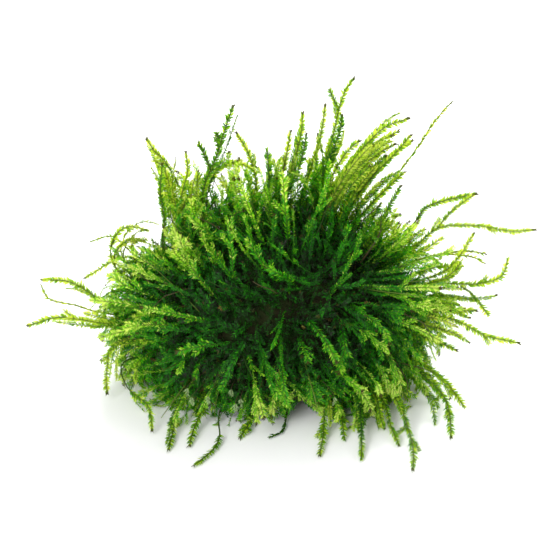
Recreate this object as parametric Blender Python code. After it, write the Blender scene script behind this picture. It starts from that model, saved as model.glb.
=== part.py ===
"""Java moss on driftwood: a small clump of moss that has overgrown a gnarled piece of wood.

The driftwood rests on a flat underside. A dense cushion of moss lies over it, and long
leafy shoots and bare stems grow out of the cushion on every side. The lowest shoots trail
along the surface, and the highest stand up. Lengths are metres, +Z is up, -Y is the front,
and the origin is at the middle of the footprint.
"""

import math
from typing import NamedTuple

import bmesh
import bpy
from mathutils import Matrix, Vector, noise
from mathutils.bvhtree import BVHTree

MM = 0.001
GAP = 0.3 * MM

# Driftwood: a short log with its grain along X, tapering to two broken ends
WOOD_MIDDLE = Vector((-2, 1, 10)) * MM
WOOD_LENGTH = 52 * MM
WOOD_DEPTH = 30 * MM
WOOD_HEIGHT = 30 * MM
WOOD_SIDES = 20
WOOD_RINGS = 13
WOOD_FLUTES = 5
WOOD_FLUTE_DEPTH = 0.07
WOOD_BEND = 3 * MM
WOOD_END_DEPTH = 3.5 * MM

# Broken-off limbs of the driftwood: direction from the middle, then the way each one grows
WOOD_LIMBS = (
    ((-0.62, 0.74, -0.06), (-0.5, 0.85, 0.05), 17 * MM),
    ((0.90, 0.42, -0.08), (0.85, 0.5, 0.0), 12 * MM),
    ((0.18, -0.95, -0.20), (0.25, -0.95, -0.1), 5 * MM),
)
LIMB_STEPS = 4
LIMB_TAPER = 0.82

# Cushion of moss: an uneven dome over the wood, open where the wood comes through
MAT_MIDDLE = Vector((-2.5, 2, 17)) * MM
MAT_HALF = Vector((36, 26, 27.5)) * MM
MAT_UNDERSIDE = 2.5 * MM
MAT_LUMP_SIZE = 12 * MM
MAT_LUMP_HEIGHT = 3.2 * MM
MAT_WOOD_GAP = 0.6 * MM
SHARPEST_CREASE = 0.35

# Locks that are part of the cushion, combed away from its parting
PARTING = Vector((-9, -13, 40)) * MM
LOCKS = 110
LOCK_LENGTH = 8 * MM
LOCK_TOP_EXTRA = 0.35
LOCK_STEPS = 3
LOCK_TAPER = 0.62
LOCK_SPACING = 6.0 * MM
LOCK_CLEAR_OF_SHOOTS = 3.6 * MM
LOCK_LOWEST = 8.0 * MM
LOCK_STAND = 0.75
LOCK_LEAN = 0.75
LOCK_LIFT = 0.8
LOCK_SWAY = 0.45
GOLDEN_SHARE = 0.618

# Shoots: flat and saw-edged where they bear leaves, round and thin where they are bare
SHOOT_WIDTH = 2.3 * MM
SHOOT_THICKNESS = 1.1 * MM
STEM_WIDTH = 0.8 * MM
SHOOT_RING_SPACING = 2.1 * MM
SHOOT_NOTCH = 0.74
SHOOT_TIP = 0.3
STEEP_RISE = 0.45
LYING = 0.7

WOOD_COLOUR = (0.052, 0.030, 0.020)
MAT_COLOUR = (0.022, 0.068, 0.008)
SHOOT_COLOUR = (0.115, 0.250, 0.028)
STEM_COLOUR = (0.055, 0.075, 0.030)


class Shoot(NamedTuple):
    """A shoot's name, the points it grows through in millimetres, and its side shoots."""

    name: str
    route: tuple
    bare: bool = False
    sides: tuple = ()


# Every route starts inside the cushion, and the solid starts where the route leaves it
SHOOTS = (
    Shoot("shoot_left_1", ((-32, 0, 17), (-43, -1, 18), (-53, -3, 21), (-61, -4, 17))),
    Shoot("shoot_left_2", ((-31, 10, 14), (-42, 12, 16), (-51, 13, 21), (-58, 14, 21))),
    Shoot("shoot_left_3", ((-30, 9, 22), (-41, 10, 28), (-41.5, 10, 35), (-37, 9.5, 39.5), (-32, 9, 39))),
    Shoot("shoot_left_4", ((-30, -6, 16), (-40, -9, 16), (-42, -10, 9), (-42, -10, 3))),
    Shoot("shoot_left_5", ((-29, -9, 14), (-38, -15, 14), (-37, -18, 9), (-32, -22, 6), (-31, -26, 1.5))),
    Shoot(
        "stem_left_1", ((-31, 5, 15), (-44, 7, 16), (-50, 7, 18), (-56, 8, 19), (-58, 8, 23)), bare=True
    ),
    Shoot("stem_left_2", ((-30, 13, 22), (-38, 15, 30), (-41, 16, 32), (-46, 17, 30)), bare=True),
    Shoot("shoot_front_1", ((-20, -10, 9), (-25, -21, 4.5), (-26, -27, 2), (-27, -34, LYING))),
    Shoot("shoot_front_2", ((-15, -9, 9), (-19, -21, 4.5), (-21, -26, 2), (-22, -32, LYING))),
    Shoot(
        "shoot_front_3",
        ((-12, -9, 7), (-15, -21, 3), (-14, -29, 1.5), (-16, -35, LYING), (-21, -43, LYING)),
    ),
    Shoot("shoot_front_4", ((-3, -10, 7), (-7, -21, 2.5), (-10, -28, LYING))),
    Shoot("shoot_front_5", ((9, -10, 10), (10, -20, 6), (10, -27, 2), (9, -37, LYING))),
    Shoot("shoot_front_6", ((11, -9, 9), (14, -21, 4), (15, -29, LYING))),
    Shoot("shoot_front_7", ((14, -8, 11), (18, -20, 7), (19, -28, 3), (19, -39, LYING))),
    Shoot("shoot_front_8", ((17, -6, 10), (24, -18, 6), (26, -25, 2.5), (28, -32, LYING))),
    Shoot("shoot_front_9", ((20, -5, 13), (28, -16, 9), (31, -24, 4), (33, -34, 1.2), (32, -44, LYING))),
    Shoot("stem_front_1", ((2, -12, 5), (1, -20, 1.5), (0, -25, LYING), (-3, -28, LYING)), bare=True),
    Shoot("shoot_right_1", ((23, -2, 10), (34, -8, 8), (40, -13, 5), (42, -19, 3), (41, -28, LYING))),
    Shoot("shoot_right_2", ((24, 2, 10), (32, -3, 8.5), (39, -7, 5), (44, -13, LYING))),
    Shoot("shoot_right_3", ((24, 0, 19), (35, -2, 20), (42, -4, 20), (49, -6, 17), (57, -8, 16))),
    Shoot("shoot_right_4", ((24, 2, 16), (35, 3, 18), (47, 4, 18))),
    Shoot("shoot_right_5", ((22, -4, 16), (33, -7, 17), (42, -9.5, 14.5))),
    Shoot(
        "shoot_right_6",
        ((24, 5, 20), (37, 7, 23), (47, 9, 22), (53, 9.5, 24), (54.5, 10, 29)),
        sides=(((43, 8.2, 22.6), (46, 8.5, 20), (50, 9, 14)),),
    ),
    Shoot("shoot_right_7", ((23, 8, 20), (35, 11, 23), (40, 12, 25), (43.5, 13, 29), (46.5, 14, 34))),
    Shoot(
        "shoot_right_8",
        ((20, 8, 27), (32, 9, 33), (38, 9, 38), (47, 8, 39), (55, 7, 38), (61, 6, 39)),
        sides=(((37.5, 9, 37.8), (41, 12, 41), (46, 14, 44)),),
    ),
    Shoot("shoot_right_9", ((19, 12, 27), (31, 15, 35), (34.5, 16, 39.5), (39, 17, 41), (47, 18, 42.5))),
    Shoot("stem_right_1", ((24, 11, 24), (36, 15, 27), (45, 17, 26), (49, 18, 23.5)), bare=True),
    Shoot("shoot_top_1", ((14, 2, 30), (21, 2, 39), (25, 2, 46), (28.5, 2, 53))),
    Shoot("shoot_top_2", ((6, 4, 35), (12, 6, 48), (17, 7, 57), (24, 8, 65), (30.5, 8, 68))),
    Shoot("shoot_top_3", ((11, 6, 34), (19, 9, 48), (26, 11, 56), (31.5, 12, 60))),
    Shoot(
        "shoot_top_4",
        ((3, 10, 34), (8, 14, 47), (12, 17, 57), (13.5, 18, 64), (15, 19, 69), (17.5, 20, 73)),
        sides=(((13.8, 18.2, 65), (12.5, 19, 67.5), (11.5, 19.5, 70)),),
    ),
    Shoot("shoot_top_5", ((3, 6, 34), (8, 9, 47), (12, 10, 57), (14, 10, 64), (14.5, 10, 68))),
    Shoot("shoot_top_6", ((1, 13, 33), (6.5, 19, 47), (9.5, 21.5, 57), (10.5, 23, 64))),
    Shoot("shoot_top_7", ((-2, 8, 34), (2, 12, 50), (5, 14, 60), (5, 14, 66.5))),
    Shoot("shoot_top_8", ((-3, 11, 34), (0, 17, 51), (1, 18, 59.5))),
    Shoot("shoot_top_9", ((-2, 3, 34), (1, 5, 48), (4.5, 6, 57), (6, 6, 65))),
    Shoot("shoot_top_10", ((-4, 1, 34), (-3, 2, 48), (-3, 2, 56), (-3.5, 2, 63))),
    Shoot("shoot_top_11", ((-6, 10, 33), (-6, 16, 46), (-8, 19, 53), (-11, 20, 58))),
    Shoot(
        "shoot_top_12",
        ((-18, 4, 32), (-19, 8, 47), (-15.5, 9.5, 57), (-13.5, 10, 64), (-11.5, 10, 70.5)),
        sides=(
            ((-14.5, 9.8, 60.5), (-15.5, 10.5, 63)),
            ((-17, 9, 53.5), (-18.5, 10.5, 57), (-20, 11, 60)),
        ),
    ),
    Shoot("shoot_top_13", ((-20, 7, 30), (-24, 11, 43), (-22.5, 11.5, 52), (-23, 12, 57))),
    Shoot("shoot_top_14", ((-20, 12, 28), (-26, 17, 40), (-28, 16.5, 50), (-32.5, 16, 58.5))),
    Shoot("shoot_top_15", ((-21, 1, 25), (-28, 2, 34), (-28, 3.5, 42), (-29, 4, 50), (-28.5, 4, 58))),
    Shoot("shoot_top_16", ((-16, 13, 27), (-19, 21, 38), (-17, 23, 44), (-12, 24, 48), (-7, 24, 46))),
    Shoot("stem_top_1", ((12, 8, 33), (25, 12, 47), (32, 14, 56), (37, 15, 64), (41, 16, 68.5)), bare=True),
    Shoot("shoot_back_1", ((-24, 14, 20), (-37, 24, 22), (-48, 28, 14))),
    Shoot("shoot_back_2", ((-19, 17, 16), (-31, 31, 14), (-38, 40, 4))),
    Shoot("shoot_back_3", ((-14, 18, 22), (-20, 33, 25), (-24, 43, 20))),
    Shoot("shoot_back_4", ((-6, 19, 12), (-9, 33, 9), (-10, 44, 2))),
    Shoot("shoot_back_5", ((2, 18, 24), (4, 33, 27), (6, 42, 24))),
    Shoot("shoot_back_6", ((9, 18, 13), (17, 33, 11), (20, 43, 3))),
    Shoot("shoot_back_7", ((16, 16, 20), (27, 28, 23), (34, 35, 20))),
    Shoot("shoot_back_8", ((21, 12, 12), (36, 24, 9), (46, 30, 2))),
    Shoot("shoot_back_9", ((23, 11, 19), (36, 20, 21), (44, 25, 19))),
    Shoot("shoot_back_10", ((-8, 14, 30), (-13, 28, 38), (-16, 36, 38))),
    Shoot("shoot_back_11", ((6, 14, 30), (12, 28, 38), (15, 36, 39))),
)


def clear_scene():
    """Remove every object that the file opened with."""
    for existing in list(bpy.data.objects):
        bpy.data.objects.remove(existing, do_unlink=True)


def new_collection(name):
    """Return a new collection that is linked to the scene."""
    collection = bpy.data.collections.new(name)
    bpy.context.scene.collection.children.link(collection)
    return collection


def new_material(name, colour, roughness):
    """Return a Principled material of one colour."""
    material = bpy.data.materials.new(name)
    material.use_nodes = True
    shader = material.node_tree.nodes["Principled BSDF"]
    shader.inputs["Base Color"].default_value = (*colour, 1.0)
    shader.inputs["Roughness"].default_value = roughness
    shader.inputs["Metallic"].default_value = 0.0
    material.diffuse_color = (*colour, 1.0)
    return material


def object_from_bmesh(bm, name, collection, material=None):
    """Turn the mesh under construction into an object, and free it."""
    bmesh.ops.recalc_face_normals(bm, faces=bm.faces)
    mesh = bpy.data.meshes.new(name)
    bm.to_mesh(mesh)
    bm.free()
    made = bpy.data.objects.new(name, mesh)
    collection.objects.link(made)
    if material:
        mesh.materials.append(material)
    return made


def cut_flat(bm, height):
    """Cut off everything under a height, and close the cut with one flat face."""
    everything = bm.verts[:] + bm.edges[:] + bm.faces[:]
    cut = bmesh.ops.bisect_plane(
        bm, geom=everything, plane_co=(0, 0, height), plane_no=(0, 0, -1), clear_outer=True
    )
    rim = [part for part in cut["geom_cut"] if isinstance(part, bmesh.types.BMEdge)]
    bmesh.ops.holes_fill(bm, edges=rim, sides=0)


def grow_from_face(bm, face, direction, length, steps, taper):
    """Extrude a face step by step, narrowing it each time and turning it to a direction."""
    heading = face.normal.copy()
    for step in range(steps):
        heading = heading.lerp(direction, (step + 1) / steps).normalized()
        face = bmesh.ops.extrude_discrete_faces(bm, faces=[face])["faces"][0]
        middle = face.calc_center_median()
        bmesh.ops.scale(bm, vec=(taper,) * 3, space=Matrix.Translation(-middle), verts=face.verts)
        bmesh.ops.translate(bm, vec=heading * (length / steps), verts=face.verts)
    return face


def wood_scale(along):
    """Thickness of the log at a place along it, from -1 at one end to 1 at the other."""
    return 0.72 + 0.28 * math.cos(along * math.pi / 2) + 0.06 * math.sin(5.1 * along + 1.0)


def shape_wood(bm):
    """Bend the plain log, and cut its flutes and its uneven grain."""
    for vertex in bm.verts:
        along = 2 * vertex.co.x
        angle = math.atan2(vertex.co.z, vertex.co.y)
        twist = WOOD_FLUTES * angle + 2.2 * along
        flute = 1 + WOOD_FLUTE_DEPTH * math.sin(twist)
        rough = 1 + 0.12 * noise.noise(Vector((3 * along, 2 * vertex.co.y, 2 * vertex.co.z)))
        size = wood_scale(along) * flute * rough
        bend = WOOD_BEND * math.sin(math.pi * along)
        vertex.co = WOOD_MIDDLE + Vector(
            (
                WOOD_LENGTH * along / 2,
                WOOD_DEPTH / 2 * size * vertex.co.y + bend,
                WOOD_HEIGHT / 2 * size * vertex.co.z,
            )
        )


def break_end(bm, face, outward):
    """Finish an end of the log as a blunt, slanting break."""
    for share, scale in ((0.4, 0.86), (0.35, 0.72), (0.25, 0.55)):
        face = bmesh.ops.extrude_discrete_faces(bm, faces=[face])["faces"][0]
        middle = face.calc_center_median()
        bmesh.ops.scale(bm, vec=(scale,) * 3, space=Matrix.Translation(-middle), verts=face.verts)
        bmesh.ops.translate(bm, vec=outward * WOOD_END_DEPTH * share, verts=face.verts)


def face_towards(bm, middle, direction):
    """Return the four-sided face that lies nearest to a direction from a point."""
    aim = Vector(direction).normalized()
    sides = [face for face in bm.faces if len(face.verts) == 4]
    return max(sides, key=lambda face: (face.calc_center_median() - middle).normalized().dot(aim))


def make_driftwood(collection, material):
    """Build the log with its broken ends, its limbs and its flat underside."""
    bm = bmesh.new()
    along_x = Matrix.Rotation(math.pi / 2, 4, "Y")
    bmesh.ops.create_cone(
        bm, cap_ends=True, segments=WOOD_SIDES, radius1=1, radius2=1, depth=1, matrix=along_x
    )
    long_edges = [edge for edge in bm.edges if abs(edge.verts[0].co.x - edge.verts[1].co.x) > 0.5]
    bmesh.ops.subdivide_edges(bm, edges=long_edges, cuts=WOOD_RINGS - 1, use_grid_fill=True)
    shape_wood(bm)
    bm.normal_update()
    ends = [face for face in bm.faces if len(face.verts) == WOOD_SIDES]
    for face in ends:
        outward = Vector((math.copysign(1, face.normal.x), 0.15, 0.1)).normalized()
        break_end(bm, face, outward)
    for place, heading, length in WOOD_LIMBS:
        bm.normal_update()
        face = face_towards(bm, WOOD_MIDDLE, place)
        grow_from_face(bm, face, Vector(heading).normalized(), length, LIMB_STEPS, LIMB_TAPER)
    cut_flat(bm, 0)
    return object_from_bmesh(bm, "driftwood", collection, material)


def make_wood_clearance(wood, collection):
    """Build the cutter that keeps the cushion off the wood."""
    bm = bmesh.new()
    bm.from_mesh(wood.data)
    shifts = []
    for vertex in bm.verts:
        lean = min(vertex.normal.dot(face.normal) for face in vertex.link_faces)
        shifts.append(vertex.normal * MAT_WOOD_GAP / max(lean, SHARPEST_CREASE))
    for vertex, shift in zip(bm.verts, shifts):
        vertex.co += shift
    cutter = object_from_bmesh(bm, "driftwood_clearance", collection)
    cutter.hide_render = True
    cutter.display_type = "WIRE"
    return cutter


def smooth_route(points, samples=16):
    """Return points along the smooth curve through the given points."""
    ends = [2 * points[0] - points[1], *points, 2 * points[-1] - points[-2]]
    curve = []
    for before, start, end, after in zip(ends, ends[1:], ends[2:], ends[3:]):
        for sample in range(samples):
            t = sample / samples
            curve.append(
                0.5
                * (
                    2 * start
                    + (end - before) * t
                    + (2 * before - 5 * start + 4 * end - after) * t**2
                    + (3 * start - before - 3 * end + after) * t**3
                )
            )
    return [*curve, points[-1]]


def even_points(curve, spacing):
    """Return points at even distances along a curve, close to a spacing apart."""
    lengths = [0.0]
    for before, after in zip(curve, curve[1:]):
        lengths.append(lengths[-1] + (after - before).length)
    count = max(3, round(lengths[-1] / spacing))
    points = []
    segment = 0
    for step in range(count + 1):
        wanted = lengths[-1] * step / count
        while segment < len(curve) - 2 and lengths[segment + 1] < wanted:
            segment += 1
        run = lengths[segment + 1] - lengths[segment]
        points.append(curve[segment].lerp(curve[segment + 1], (wanted - lengths[segment]) / run))
    return points


def route_of(points):
    """Return the smooth curve, in metres, through points given in millimetres."""
    return smooth_route([Vector(point) * MM for point in points])


def outside_mat(curve, surface, clearance):
    """Return the end of a curve that keeps a clearance to the cushion all the way."""
    kept = []
    for point in reversed(curve):
        if surface.find_nearest(point, clearance)[0] is not None:
            break
        kept.append(point)
    return kept[::-1]


def lock_heading(face):
    """Return where the lock on a face points: away from the parting, and upwards on top."""
    middle = face.calc_center_median()
    away = middle - PARTING
    away = (away - away.project(face.normal)).normalized()
    upward = max(0.0, face.normal.z)
    lift = Vector((0, 0, LOCK_LIFT * upward))
    spot = middle / MAT_LUMP_SIZE
    sway = Vector([noise.noise(spot + Vector((0, 0, offset))) for offset in (20, 40, 60)]) * LOCK_SWAY
    heading = face.normal * LOCK_STAND + away * LOCK_LEAN * (1 - 0.6 * upward) + lift + sway
    return heading.normalized()


def choose_locks(bm, curves):
    """Return the faces of the cushion that a lock grows from, spread evenly and clear of shoots."""
    chosen, spots = [], []
    order = sorted(bm.faces, key=lambda face: noise.noise(face.calc_center_median() * 900))
    for face in order:
        middle = face.calc_center_median()
        if middle.z < LOCK_LOWEST or len(chosen) == LOCKS:
            continue
        reach = lock_heading(face) * LOCK_LENGTH
        spot = middle + reach / 2
        if any((spot - other).length < LOCK_SPACING for other in spots):
            continue
        places = (spot, middle + reach)
        passing = [point for curve in curves for point in curve[::3]]
        near = min((point - place).length for point in passing for place in places)
        if near > LOCK_CLEAR_OF_SHOOTS:
            chosen.append(face)
            spots.append(spot)
    return chosen


def make_mat(collection, material, cutter, curves):
    """Build the cushion with its lumps and locks, hollow where the wood lies."""
    bm = bmesh.new()
    bmesh.ops.create_icosphere(bm, subdivisions=3, radius=1)
    for vertex in bm.verts:
        outward = vertex.co.copy()
        place = Vector(out * half for out, half in zip(outward, MAT_HALF))
        lump = noise.noise(place / MAT_LUMP_SIZE) * MAT_LUMP_HEIGHT
        vertex.co = MAT_MIDDLE + place + outward * lump
    cut_flat(bm, MAT_UNDERSIDE)
    bm.normal_update()
    for number, face in enumerate(choose_locks(bm, curves)):
        upward = max(0.0, face.normal.z)
        variety = 0.7 + 0.6 * ((number * GOLDEN_SHARE) % 1)
        length = LOCK_LENGTH * variety * (1 + LOCK_TOP_EXTRA * upward)
        grow_from_face(bm, face, lock_heading(face), length, LOCK_STEPS, LOCK_TAPER)
    bmesh.ops.triangulate(bm, faces=bm.faces)
    mat = object_from_bmesh(bm, "moss_mat", collection, material)
    hollow = mat.modifiers.new("room for the wood", "BOOLEAN")
    hollow.operation = "DIFFERENCE"
    hollow.object = cutter
    return mat


def surface_of(thing):
    """Return a search tree over an object's finished surface."""
    graph = bpy.context.evaluated_depsgraph_get()
    return BVHTree.FromObject(thing, graph)


def make_section(name, width, thickness, collection):
    """Build the four-cornered outline that a shoot is swept from."""
    outline = bpy.data.curves.new(name, "CURVE")
    spline = outline.splines.new("POLY")
    spline.points.add(3)
    corners = ((width / 2, 0), (0, thickness / 2), (-width / 2, 0), (0, -thickness / 2))
    for point, (x, y) in zip(spline.points, corners):
        point.co = (x, y, 0, 1)
    spline.use_cyclic_u = True
    section = bpy.data.objects.new(name, outline)
    section.hide_render = True
    section.display_type = "WIRE"
    collection.objects.link(section)
    return section


def shoot_radius(share, ring, bare):
    """Relative thickness of a shoot from its root, at share 0, to its tip, at share 1."""
    if bare:
        return 1 - 0.5 * share
    taper = min(1.0, 0.6 + 1.6 * share) * (1 - (1 - SHOOT_TIP) * share**3)
    return taper * (1.0 if ring % 2 else SHOOT_NOTCH)


def make_shoot_mesh(name, points, section, bare):
    """Sweep a section along a shoot's points, its flat side up, or to the front where it is steep."""
    steep = abs((points[-1] - points[0]).normalized().z) > STEEP_RISE
    turn = Matrix.Rotation(math.pi / 2 if steep else 0, 3, "X")
    curve = bpy.data.curves.new(name, "CURVE")
    curve.dimensions = "3D"
    curve.twist_mode = "Z_UP"
    curve.bevel_mode = "OBJECT"
    curve.bevel_object = section
    curve.use_fill_caps = True
    spline = curve.splines.new("POLY")
    spline.points.add(len(points) - 1)
    for ring, (target, point) in enumerate(zip(spline.points, points)):
        target.co = (*(turn @ point), 1)
        target.radius = shoot_radius(ring / (len(points) - 1), ring, bare)
    swept = bpy.data.objects.new(name, curve)
    bpy.context.scene.collection.objects.link(swept)
    graph = bpy.context.evaluated_depsgraph_get()
    mesh = bpy.data.meshes.new_from_object(swept.evaluated_get(graph))
    bpy.data.objects.remove(swept, do_unlink=True)
    bm = bmesh.new()
    bm.from_mesh(mesh)
    bpy.data.meshes.remove(mesh)
    bmesh.ops.remove_doubles(bm, verts=bm.verts, dist=0.001 * MM)
    bmesh.ops.rotate(bm, matrix=turn.transposed(), verts=bm.verts)
    return bm


def make_shoot(shoot, section, surface, collection, helpers, material):
    """Build a shoot from where it leaves the cushion, joined with its side shoots."""
    clearance = GAP + (STEM_WIDTH if shoot.bare else SHOOT_WIDTH) / 2
    free = outside_mat(route_of(shoot.route), surface, clearance)
    points = even_points(free, SHOOT_RING_SPACING)
    made = object_from_bmesh(
        make_shoot_mesh(shoot.name, points, section, shoot.bare), shoot.name, collection, material
    )
    for number, route in enumerate(shoot.sides, 1):
        name = f"{shoot.name}_side_{number}"
        side_points = even_points(route_of(route), SHOOT_RING_SPACING)
        side = object_from_bmesh(make_shoot_mesh(name, side_points, section, False), name, helpers)
        side.hide_render = True
        side.display_type = "WIRE"
        joined = made.modifiers.new(f"side shoot {number}", "BOOLEAN")
        joined.operation = "UNION"
        joined.object = side
    return made


def main():
    """Build the driftwood, the cushion and every shoot."""
    clear_scene()
    clump = new_collection("java_moss_on_driftwood")
    helpers = new_collection("helpers")
    wood_material = new_material("driftwood", WOOD_COLOUR, 0.75)
    mat_material = new_material("moss", MAT_COLOUR, 0.8)
    shoot_material = new_material("moss_shoot", SHOOT_COLOUR, 0.6)
    stem_material = new_material("bare_stem", STEM_COLOUR, 0.6)

    wood = make_driftwood(clump, wood_material)
    cutter = make_wood_clearance(wood, helpers)
    curves = [route_of(shoot.route) for shoot in SHOOTS]
    mat = make_mat(clump, mat_material, cutter, curves)
    surface = surface_of(mat)
    leafy = make_section("leafy_section", SHOOT_WIDTH, SHOOT_THICKNESS, helpers)
    bare = make_section("bare_section", STEM_WIDTH, STEM_WIDTH, helpers)
    for shoot in SHOOTS:
        section = bare if shoot.bare else leafy
        material = stem_material if shoot.bare else shoot_material
        make_shoot(shoot, section, surface, clump, helpers, material)


main()
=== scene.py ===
"""The looks of a clump of java moss that has overgrown a piece of driftwood.

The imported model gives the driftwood, the cushion of moss and every long shoot as plain
solids. This script grows the moss leaf by leaf in their place: coats of short shoots over a
bed of old moss, and a leafy shoot or a bare stem along the route of every long one.
"""

from __future__ import annotations

import logging
import math
from dataclasses import dataclass, replace
from enum import Enum

import bmesh
import bpy
import numpy as np
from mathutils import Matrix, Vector, noise


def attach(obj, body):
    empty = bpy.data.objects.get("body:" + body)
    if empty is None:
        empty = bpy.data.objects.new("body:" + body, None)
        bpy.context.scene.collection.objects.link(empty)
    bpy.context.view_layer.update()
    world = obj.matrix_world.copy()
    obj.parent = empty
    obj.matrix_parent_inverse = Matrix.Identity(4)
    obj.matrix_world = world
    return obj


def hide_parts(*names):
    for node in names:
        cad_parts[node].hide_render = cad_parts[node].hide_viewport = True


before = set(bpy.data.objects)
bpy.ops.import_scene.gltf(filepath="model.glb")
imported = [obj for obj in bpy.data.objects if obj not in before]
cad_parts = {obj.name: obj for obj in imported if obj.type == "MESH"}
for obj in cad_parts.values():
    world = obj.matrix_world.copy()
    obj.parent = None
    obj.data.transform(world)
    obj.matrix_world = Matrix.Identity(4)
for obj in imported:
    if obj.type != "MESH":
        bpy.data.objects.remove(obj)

MM = 0.001
BODY = "root"
CUSHION_NODE = "moss_mat"
SEED = 20
ELEVATION = math.radians(28)
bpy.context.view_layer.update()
LOG = logging.getLogger("java_moss")

Array = np.ndarray
Range = tuple[float, float]
Colour = tuple[float, float, float]
Spot = tuple[float, float, float]
Route = tuple[Spot, ...]
Stops = tuple[tuple[float, Colour], ...]
Socket = bpy.types.NodeSocket
Inputs = dict[str | int, object]
Chance = np.random.Generator


class Slot(Enum):
    """Names of material slots for the pieces; this script gives no piece a slot."""

    MOSS = "moss"
    SHOOT = "moss_shoot"
    STEM = "bare_stem"
    WOOD = "driftwood"


class Habit(Enum):
    """How a shoot grows, leafy or bare, by the first word of its solid's name."""

    LEAFY = "shoot"
    BARE = "stem"


class Quarter(Enum):
    """The quarters of the cushion."""

    FRONT_LEFT = 0
    FRONT_RIGHT = 1
    BACK_LEFT = 2
    BACK_RIGHT = 3


def put(name: str, data: bpy.types.ID) -> bpy.types.Object:
    """Add an object of a name to the scene, and return it."""
    made = bpy.data.objects.new(name, data)
    bpy.context.scene.collection.objects.link(made)
    return made


def install(mesh: bpy.types.Mesh, node: str) -> None:
    """Put a finished mesh on the clump, in place of a solid, and report it.

    Args:
        mesh: The mesh, which gives the piece its name.
        node: The solid that it takes the place of.
    """
    made = put(mesh.name, mesh)
    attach(made, BODY)
    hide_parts(node)
    LOG.info("%s: %d faces", made.name, len(mesh.polygons))


def settle(bm: bmesh.types.BMesh, name: str, material: bpy.types.Material) -> bpy.types.Mesh:
    """Turn a modelled form into a smooth mesh.

    Args:
        bm: The form, which is freed.
        name: The mesh's name.
        material: Its finish.

    Returns:
        The mesh.
    """
    mesh = bpy.data.meshes.new(name)
    bm.to_mesh(mesh)
    bm.free()
    mesh.shade_smooth()
    mesh.materials.append(material)
    return mesh


def unit(vectors: Array) -> Array:
    """Return the vectors at a length of one."""
    return vectors / np.maximum(np.linalg.norm(vectors, axis=-1, keepdims=True), 1e-12)


def dot(first: Array, second: Array) -> Array:
    """Return the dot products of two sets of vectors, kept as a column."""
    return (first * second).sum(axis=-1, keepdims=True)


def across_and_up(run: Array, facing: Array) -> tuple[Array, Array]:
    """Return the ways across a run and up from it, where its flat side faces some way."""
    across = unit(np.cross(facing, run))
    return across, np.cross(run, across)


def between(ends: Range, share: Array) -> Array:
    """Return the values part of the way from the first end to the second."""
    return ends[0] + (ends[1] - ends[0]) * share


def ease(low: float, high: float, value: Array) -> Array:
    """Return a smooth step from 0 where the value is low to 1 where it is high."""
    share = np.clip((value - low) / (high - low), 0.0, 1.0)
    return share * share * (3 - 2 * share)


def lumpy(places: Array, size: float) -> Array:
    """Return smooth noise between about -1 and 1, with lumps of a size."""
    return np.array([noise.noise(Vector(place / size)) for place in places])


def wander(places: Array, size: float) -> Array:
    """Return a smoothly changing direction at each place.

    Args:
        places: The places, as (n, 3).
        size: How far apart two places are that have little in common.

    Returns:
        The directions, each no longer than about one.
    """
    shifts = [Vector((0, 0, height)) for height in (20, 40, 60)]
    spots = [Vector(place / size) for place in places]
    return np.array([[noise.noise(spot + shift) for shift in shifts] for spot in spots])


def sweep(root: Array, start: Array, end: Array, length: Array, points: int) -> Array:
    """Grow paths that turn evenly from one heading to another.

    Args:
        root: Where each path starts.
        start: Its first heading.
        end: Its last heading.
        length: Its length.
        points: How many points each path has.

    Returns:
        The paths, as (n, points, 3).
    """
    share = ((np.arange(points - 1) + 0.5) / (points - 1))[None, :, None]
    heading = unit(start[:, None] * (1 - share) + end[:, None] * share)
    steps = heading * (length / (points - 1))[:, None, None]
    return np.concatenate([root[:, None], root[:, None] + np.cumsum(steps, axis=1)], axis=1)


def smooth_route(points: Array, samples: int, steps: int = 16) -> Array:
    """Run a smooth curve through a route's points.

    Args:
        points: The route's own points, as (n, 3).
        samples: How many points the curve gets.
        steps: How finely each stretch of it is worked out.

    Returns:
        The curve's points, at even distances.
    """
    ends = np.vstack([2 * points[0] - points[1], points, 2 * points[-1] - points[-2]])
    curve = []
    for before, start, end, after in zip(ends, ends[1:], ends[2:], ends[3:]):
        square = 2 * before - 5 * start + 4 * end - after
        cube = 3 * start - before - 3 * end + after
        for t in np.arange(steps) / steps:
            curve.append(0.5 * (2 * start + (end - before) * t + square * t**2 + cube * t**3))
    curve = np.array([*curve, points[-1]])
    lengths = np.concatenate([[0.0], np.cumsum(np.linalg.norm(np.diff(curve, axis=0), axis=1))])
    wanted = np.linspace(0.0, lengths[-1], samples)
    return np.stack([np.interp(wanted, lengths, curve[:, axis]) for axis in range(3)], axis=1)


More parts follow.
